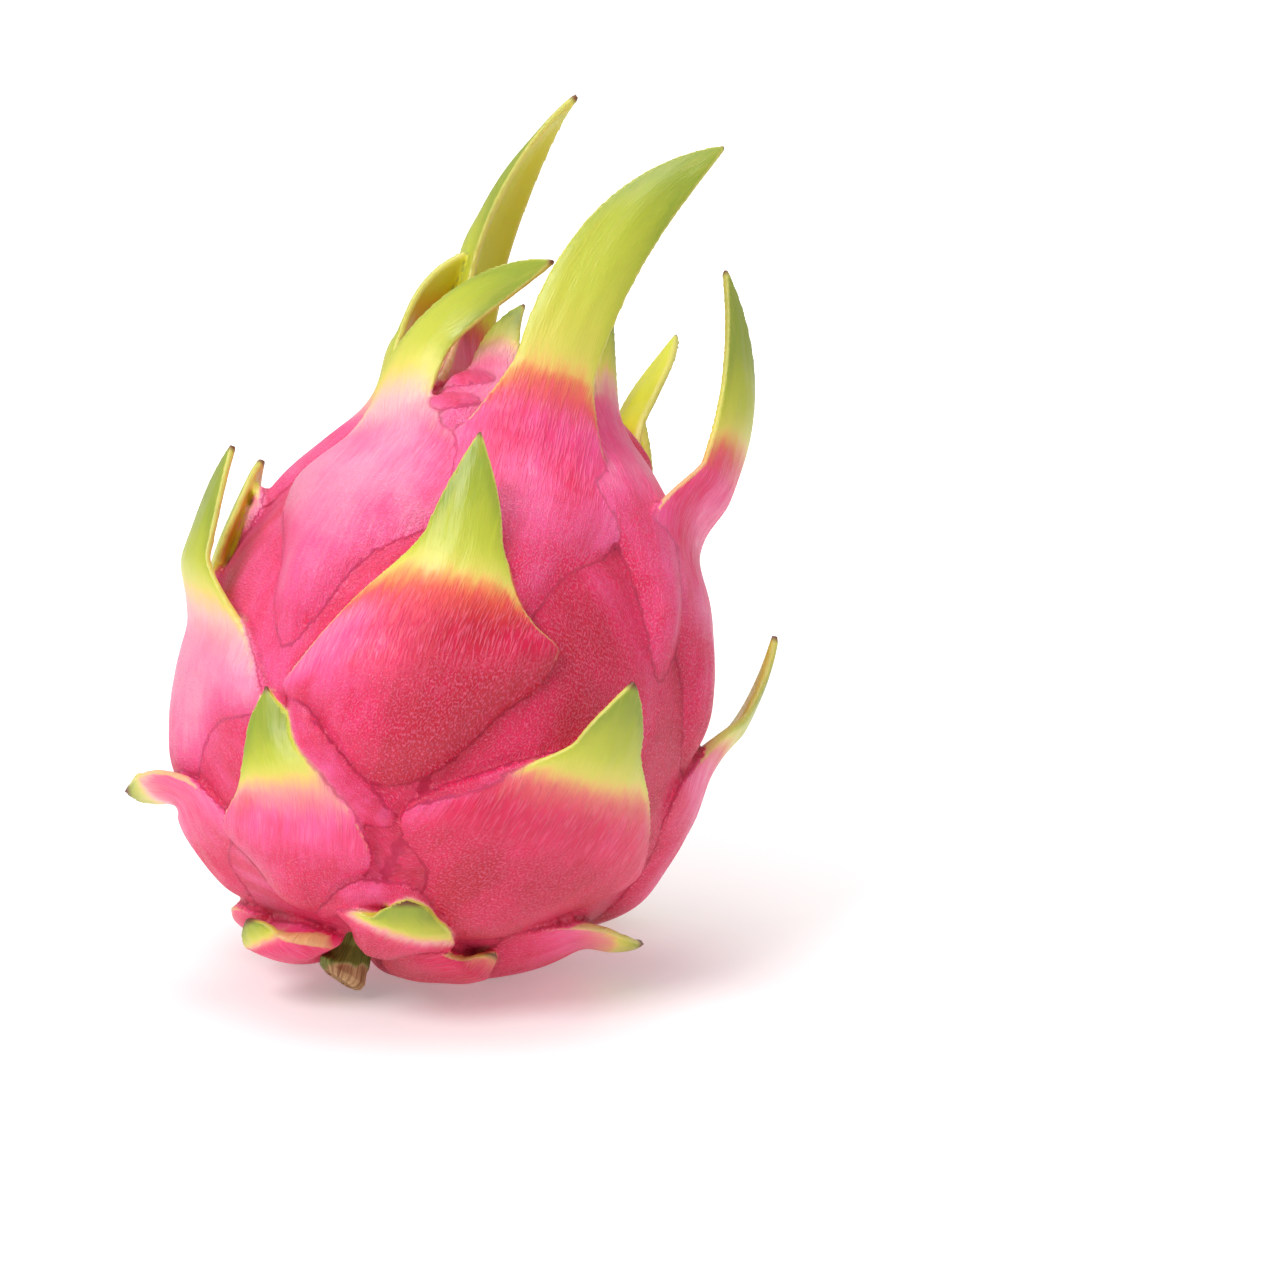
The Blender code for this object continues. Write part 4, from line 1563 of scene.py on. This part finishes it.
@dataclass(frozen=True)
class RindFinish:
    """The skin's finish: pink with pale flecks, painted shade in its creases, and scales that turn yellow and
    green to their tips, with inner faces lightened as painted light shining through.
    """

    name: str = "rind"
    pinks: Stops = (
        (0.0, paint(242, 138, 174)),
        (0.3, paint(242, 80, 142)),
        (0.62, paint(224, 22, 84)),
        (1.0, paint(190, 0, 44)),
    )
    # painted shade: the crimson that darkens the creases
    crease_shade: Colour = paint(184, 12, 58)
    fleck: Colour = paint(255, 128, 168)
    warm_turn: Colour = paint(224, 78, 62)
    pale_turn: Colour = paint(246, 190, 186)
    greens: Stops = (
        (0.0, paint(236, 182, 96)),
        (0.42, paint(226, 198, 98)),
        (0.54, paint(208, 202, 82)),
        (0.7, paint(188, 194, 60)),
        (0.85, paint(170, 180, 48)),
        (1.0, paint(138, 156, 42)),
    )
    # inner faces' own yellow, made lighter as painted light: it stands in for light shining through the thin
    # blades
    inner: Colour = paint(222, 220, 36)
    margin: Colour = paint(216, 204, 112)
    dry: Colour = paint(112, 66, 38)
    roughness: float = 0.37
    roughness_spread: tuple[float, float] = (-0.06, 0.08)
    bump: float = 0.7
    bump_depth: float = 0.3 * MM
    ripe_bump: float = 0.15
    fibre_relief: float = 0.8
    streaks: float = 0.6
    flecked: float = 0.34
    clouded: float = 0.22
    fibred: float = 0.06
    # strength of the painted crease shade
    crease_shading: float = 0.5
    frayed: float = 0.03
    rim_ripe: float = 0.12
    green_streaks: float = 0.14
    # share of the inner colour, partly own yellow and partly painted glow
    inner_tint_and_glow_share: float = 0.75
    margin_share: float = 0.6
    streaks_on: tuple[float, float] = (-0.16, 0.1)
    turn_on: tuple[float, float] = (0.0, 0.3)
    green_on: tuple[float, float] = (0.18, 0.5)
    smooth_on: tuple[float, float] = (0.12, 0.42)
    dry_to: tuple[float, float] = (0.5, 2.0)
    soaked: float = 0.38
    soak_radius: Place = (1.0, 0.5, 0.25)
    soak_depth: float = 2.8 * MM
    gloss: float = 0.5

    def material(self, effects: Effects) -> bpy.types.Material:
        """Makes the material.

        Args:
            effects: The shared node groups.

        Returns:
            The material.
        """
        made, shader, principled = begin(self.name)
        grain = effects.place_grain(shader, shader.attribute(Layer.GROWTH), 1.0)
        clouds, fibres = grain.outputs["Clouds"], grain.outputs["Fibres"]
        upper = shader.spread(shader.attribute(Layer.TILE), *self.streaks_on)
        flecks = shader.maths("MULTIPLY", grain.outputs["Flecks"], shader.maths("SUBTRACT", 1.0, upper))
        streaked = shader.maths("MULTIPLY", upper, self.streaks)
        streaks = shader.maths("MULTIPLY", grain.outputs["Streaks"], streaked)
        marks = shader.maths("ADD", flecks, streaks)
        ripe = shader.attribute(Layer.RIPE)
        pink = shader.spread(ripe, *self.smooth_on, 1.0, 0.0)
        skin = self.tile_colour(shader, clouds, fibres, marks)
        skin = self.ripened(shader, skin, fibres)
        tip = shader.spread(shader.attribute(Layer.POINT), *self.dry_to, 1.0, 0.0)
        shader.feed(principled.inputs["Base Color"], shader.blended(tip, skin, self.dry))

        rough = [self.roughness + change for change in self.roughness_spread]
        shader.feed(principled.inputs["Roughness"], shader.spread(clouds, *MIDDLE_OF_NOISE, *rough))
        relief = shader.maths("MULTIPLY_ADD", fibres, self.fibre_relief, marks)
        fading = shader.maths("MULTIPLY_ADD", pink, 1.0 - self.ripe_bump, self.ripe_bump)
        relief = shader.maths("MULTIPLY", relief, fading)
        shader.feed(principled.inputs["Normal"], shader.bumped(relief, self.bump, self.bump_depth))
        principled.subsurface_method = "BURLEY"
        principled.inputs["Subsurface Weight"].default_value = self.soaked
        principled.inputs["Subsurface Radius"].default_value = self.soak_radius
        principled.inputs["Subsurface Scale"].default_value = self.soak_depth
        principled.inputs["Specular IOR Level"].default_value = self.gloss
        return made

    def tile_colour(
        self,
        shader: Shader,
        clouds: bpy.types.NodeSocket,
        fibres: bpy.types.NodeSocket,
        marks: bpy.types.NodeSocket,
    ) -> bpy.types.NodeSocket:
        """The pink skin: lighter and darker in clouds, flecked, and darkened to crimson in its creases as
        painted shade.

        Args:
            shader: The material's nodes.
            clouds: Large soft variation.
            fibres: Streaks along the growth.
            marks: The mask of the pale flecks and streaks.

        Returns:
            The colour.
        """
        clouded = shader.spread(clouds, *MOST_OF_NOISE, -self.clouded, self.clouded)
        deep = shader.maths("ADD", shader.attribute(Layer.DEEP), clouded)
        fibred = shader.spread(fibres, *MIDDLE_OF_NOISE, -self.fibred, self.fibred)
        deep = shader.maths("ADD", deep, fibred)
        low = shader.spread(shader.attribute(Layer.TILE), -0.8, 0.1, 0.2, -0.14)
        skin = shader.ramp(shader.maths("ADD", deep, low), self.pinks)
        skin = shader.blended(shader.maths("MULTIPLY", marks, self.flecked), skin, self.fleck)
        # painted shade: darker crimson where the skin lies deep in a crease
        crease_shade = shader.spread(shader.attribute(Layer.CREASE), 0.2, 1.0, 0.0, self.crease_shading)
        return shader.blended(crease_shade, skin, self.crease_shade)

    def ripened(
        self, shader: Shader, skin: bpy.types.NodeSocket, fibres: bpy.types.NodeSocket
    ) -> bpy.types.NodeSocket:
        """The turn from pink to yellow and green, with a thin line of it down the tile's margin, and the inner
        faces' yellow, lightened as painted light shining through the blades.

        Args:
            shader: The material's nodes.
            skin: The pink skin.
            fibres: Streaks along the growth.

        Returns:
            The colour.
        """
        rim = shader.attribute(Layer.RIM)
        frayed = shader.spread(fibres, *MOST_OF_NOISE, -self.frayed, self.frayed)
        ripe = shader.maths("ADD", shader.attribute(Layer.RIPE), frayed)
        near_rim = shader.spread(rim, 0.1, 2.6, self.rim_ripe, 0.0)
        ripe = shader.maths("ADD", ripe, shader.maths("MULTIPLY", near_rim, shader.spread(ripe, 0.0, 0.15)))
        turn = shader.blended(shader.attribute(Layer.WARM), self.pale_turn, self.warm_turn)
        green = shader.ramp(ripe, self.greens)
        streak = shader.spread(fibres, 0.4, 0.75, 0.0, self.green_streaks)
        green = shader.blended(streak, green, self.greens[1][1])
        # inner faces take the lighter yellow, partly own colour and partly painted light shining through
        inside = shader.maths("SUBTRACT", 1.0, shader.attribute(Layer.FACE))
        green = shader.blended(shader.maths("MULTIPLY", inside, self.inner_tint_and_glow_share), green, self.inner)
        skin = shader.blended(shader.spread(ripe, *self.turn_on), skin, turn)
        skin = shader.blended(shader.spread(ripe, *self.green_on), skin, green)
        line = shader.spread(rim, 0.1, 0.5, self.margin_share, 0.0)
        reach = shader.spread(shader.attribute(Layer.TILE), -0.12, 0.12)
        return shader.blended(shader.maths("MULTIPLY", line, reach), skin, self.margin)


@dataclass(frozen=True)
class DryFinish:
    """A dry, fibrous finish, green where its growth is still fresh."""

    name: str
    dark: Colour
    pale: Colour
    fresh: Colour = paint(142, 154, 70)
    fresh_dark: Colour = paint(86, 104, 40)
    roughness: float = 0.75
    fresh_roughness: float = 0.5
    bump: float = 0.9
    bump_depth: float = 0.25 * MM
    fineness: float = 1.6
    gloss: float = 0.3

    def material(self, effects: Effects) -> bpy.types.Material:
        """Makes the material.

        Args:
            effects: The shared node groups.

        Returns:
            The material.
        """
        made, shader, principled = begin(self.name)
        grain = effects.place_grain(shader, shader.attribute(Layer.GROWTH), self.fineness)
        clouds, fibres = grain.outputs["Clouds"], grain.outputs["Fibres"]
        wood = shader.blended(shader.spread(fibres, *MIDDLE_OF_NOISE), self.dark, self.pale)
        green = shader.blended(shader.spread(fibres, 0.3, 0.75), self.fresh_dark, self.fresh)
        green = shader.blended(shader.spread(clouds, 0.5, 0.8, 0.0, 0.5), green, self.dark)
        fresh = shader.attribute(Layer.RIPE)
        shader.feed(principled.inputs["Base Color"], shader.blended(fresh, wood, green))
        rough = shader.spread(fresh, 0.0, 1.0, self.roughness, self.fresh_roughness)
        shader.feed(principled.inputs["Roughness"], rough)
        shader.feed(principled.inputs["Normal"], shader.bumped(fibres, self.bump, self.bump_depth))
        principled.inputs["Specular IOR Level"].default_value = self.gloss
        return made


@dataclass
class Studio:
    """A white floor, soft light and the camera, at the photograph's angle."""

    lean: Lean = field(default_factory=Lean)
    elevation_deg: float = 14.0
    distance: float = 0.9
    aside: float = 32.5 * MM
    above: float = 10.36 * MM
    lens: float = 143.5
    floor_size: float = 8.0
    surroundings: float = 0.5
    floor_glow: float = 0.25
    floor_glow_far: float = 0.5
    floor_glows_from: tuple[float, float] = (0.1, 0.6)
    floor_white: float = 0.86
    floor_roughness: float = 0.7
    floor_gloss: float = 0.2
    lamps: tuple[tuple[str, Place, float, float], ...] = (
        ("key", (-0.5, -0.6, 0.8), 0.5, 6.3),
        ("top", (0.0, 0.1, 1.0), 0.8, 5.0),
    )
    sensor: float = 36.0
    sight: tuple[float, float] = (0.05, 20.0)

    def camera(self) -> bpy.types.Object:
        """Makes the camera.

        Returns:
            The camera.
        """
        tilt = math.radians(self.elevation_deg)
        right, up = np.array([1.0, 0.0, 0.0]), np.array([0.0, math.sin(tilt), math.cos(tilt)])
        away = np.array([0.0, math.cos(tilt), -math.sin(tilt)])
        place = self.lean.centre + right * self.aside + up * self.above - away * self.distance
        data = bpy.data.cameras.new("camera")
        data.lens = self.lens
        data.sensor_width = self.sensor
        data.clip_start, data.clip_end = self.sight
        made = put("camera", data)
        made.location = place
        made.rotation_euler = Vector(away).to_track_quat("-Z", "Y").to_euler()
        bpy.context.scene.camera = made
        return made

    def lamp(self, name: str, place: Place, size: float, power: float, aim: Place = (0.0, 0.0, 0.06)) -> None:
        """Adds a soft area light.

        Args:
            name: Its name.
            place: Where it hangs.
            size: Its width.
            power: Its power, in watts.
            aim: Where it points.
        """
        data = bpy.data.lights.new(name, "AREA")
        data.shape = "DISK"
        data.size = size
        data.energy = power
        made = put(name, data)
        made.location = place
        made.rotation_euler = (Vector(aim) - Vector(place)).to_track_quat("-Z", "Y").to_euler()

    def floor(self) -> bpy.types.Object:
        """Makes the white floor.

        Returns:
            The floor.
        """
        half = self.floor_size / 2
        mesh = bpy.data.meshes.new("floor")
        corners = [(-half, -half, 0), (half, -half, 0), (half, half, 0), (-half, half, 0)]
        mesh.from_pydata(corners, [], [(0, 1, 2, 3)])
        paper, shader, principled = begin("white_floor")
        principled.inputs["Base Color"].default_value = (*[self.floor_white] * 3, 1.0)
        principled.inputs["Roughness"].default_value = self.floor_roughness
        principled.inputs["Specular IOR Level"].default_value = self.floor_gloss
        principled.inputs["Emission Color"].default_value = WHITE
        seen = shader.node("ShaderNodeLightPath").outputs["Is Camera Ray"]
        away = shader.node("ShaderNodeVectorMath", operation="LENGTH")
        shader.feed(away.inputs[0], shader.node("ShaderNodeNewGeometry").outputs["Position"])
        far = shader.spread(away.outputs["Value"], *self.floor_glows_from, 0.0, self.floor_glow_far)
        glow = shader.maths("MULTIPLY_ADD", seen, far, self.floor_glow)
        shader.feed(principled.inputs["Emission Strength"], glow)
        mesh.materials.append(paper)
        made = put("floor", mesh)
        return made

    def build(self) -> None:
        """Sets up the floor, the lights, the pale surroundings and the camera."""
        self.floor()
        world = bpy.data.worlds.new("white_room")
        world.use_nodes = True
        shader = Shader(world.node_tree)
        seen = shader.node("ShaderNodeLightPath").outputs["Is Camera Ray"]
        strength = shader.maths("MULTIPLY_ADD", seen, 1.0 - self.surroundings, self.surroundings)
        room = world.node_tree.nodes["Background"]
        shader.feed(room.inputs["Color"], WHITE)
        shader.feed(room.inputs["Strength"], strength)
        bpy.context.scene.world = world
        for name, place, size, power in self.lamps:
            self.lamp(name, place, size, power)
        self.camera()
        bpy.context.scene.view_settings.view_transform = "Standard"


def main() -> None:
    """Builds the fruit and its studio, and reports each piece."""
    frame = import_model()
    log.info("frame: %s", ", ".join(frame["nodes"]))
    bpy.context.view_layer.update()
    effects = Effects()
    rind = RindFinish().material(effects)
    skin = FruitSkin().build(rind)
    wood = DryFinish("cut_stem", paint(140, 100, 62), paint(214, 180, 130)).material(effects)
    withered = DryFinish("dried_flower", paint(56, 34, 20), paint(134, 98, 60)).material(effects)
    stub = StemStub().build(wood)
    flower = DriedFlower().build(withered)
    pieces = (
        (skin, "fruit", "rind"),
        (stub, "stem_stub", "cut_stem"),
        (flower, "flower_scar", "dried_flower"),
    )
    for piece, node, slot in pieces:
        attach(piece, "root")
        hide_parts(node)
        log.info("%s: %d points", piece.name, len(piece.data.vertices))
    Studio().build()


if __name__ == "__main__":
    logging.basicConfig(level=logging.INFO, format="%(name)s: %(message)s")
    main()
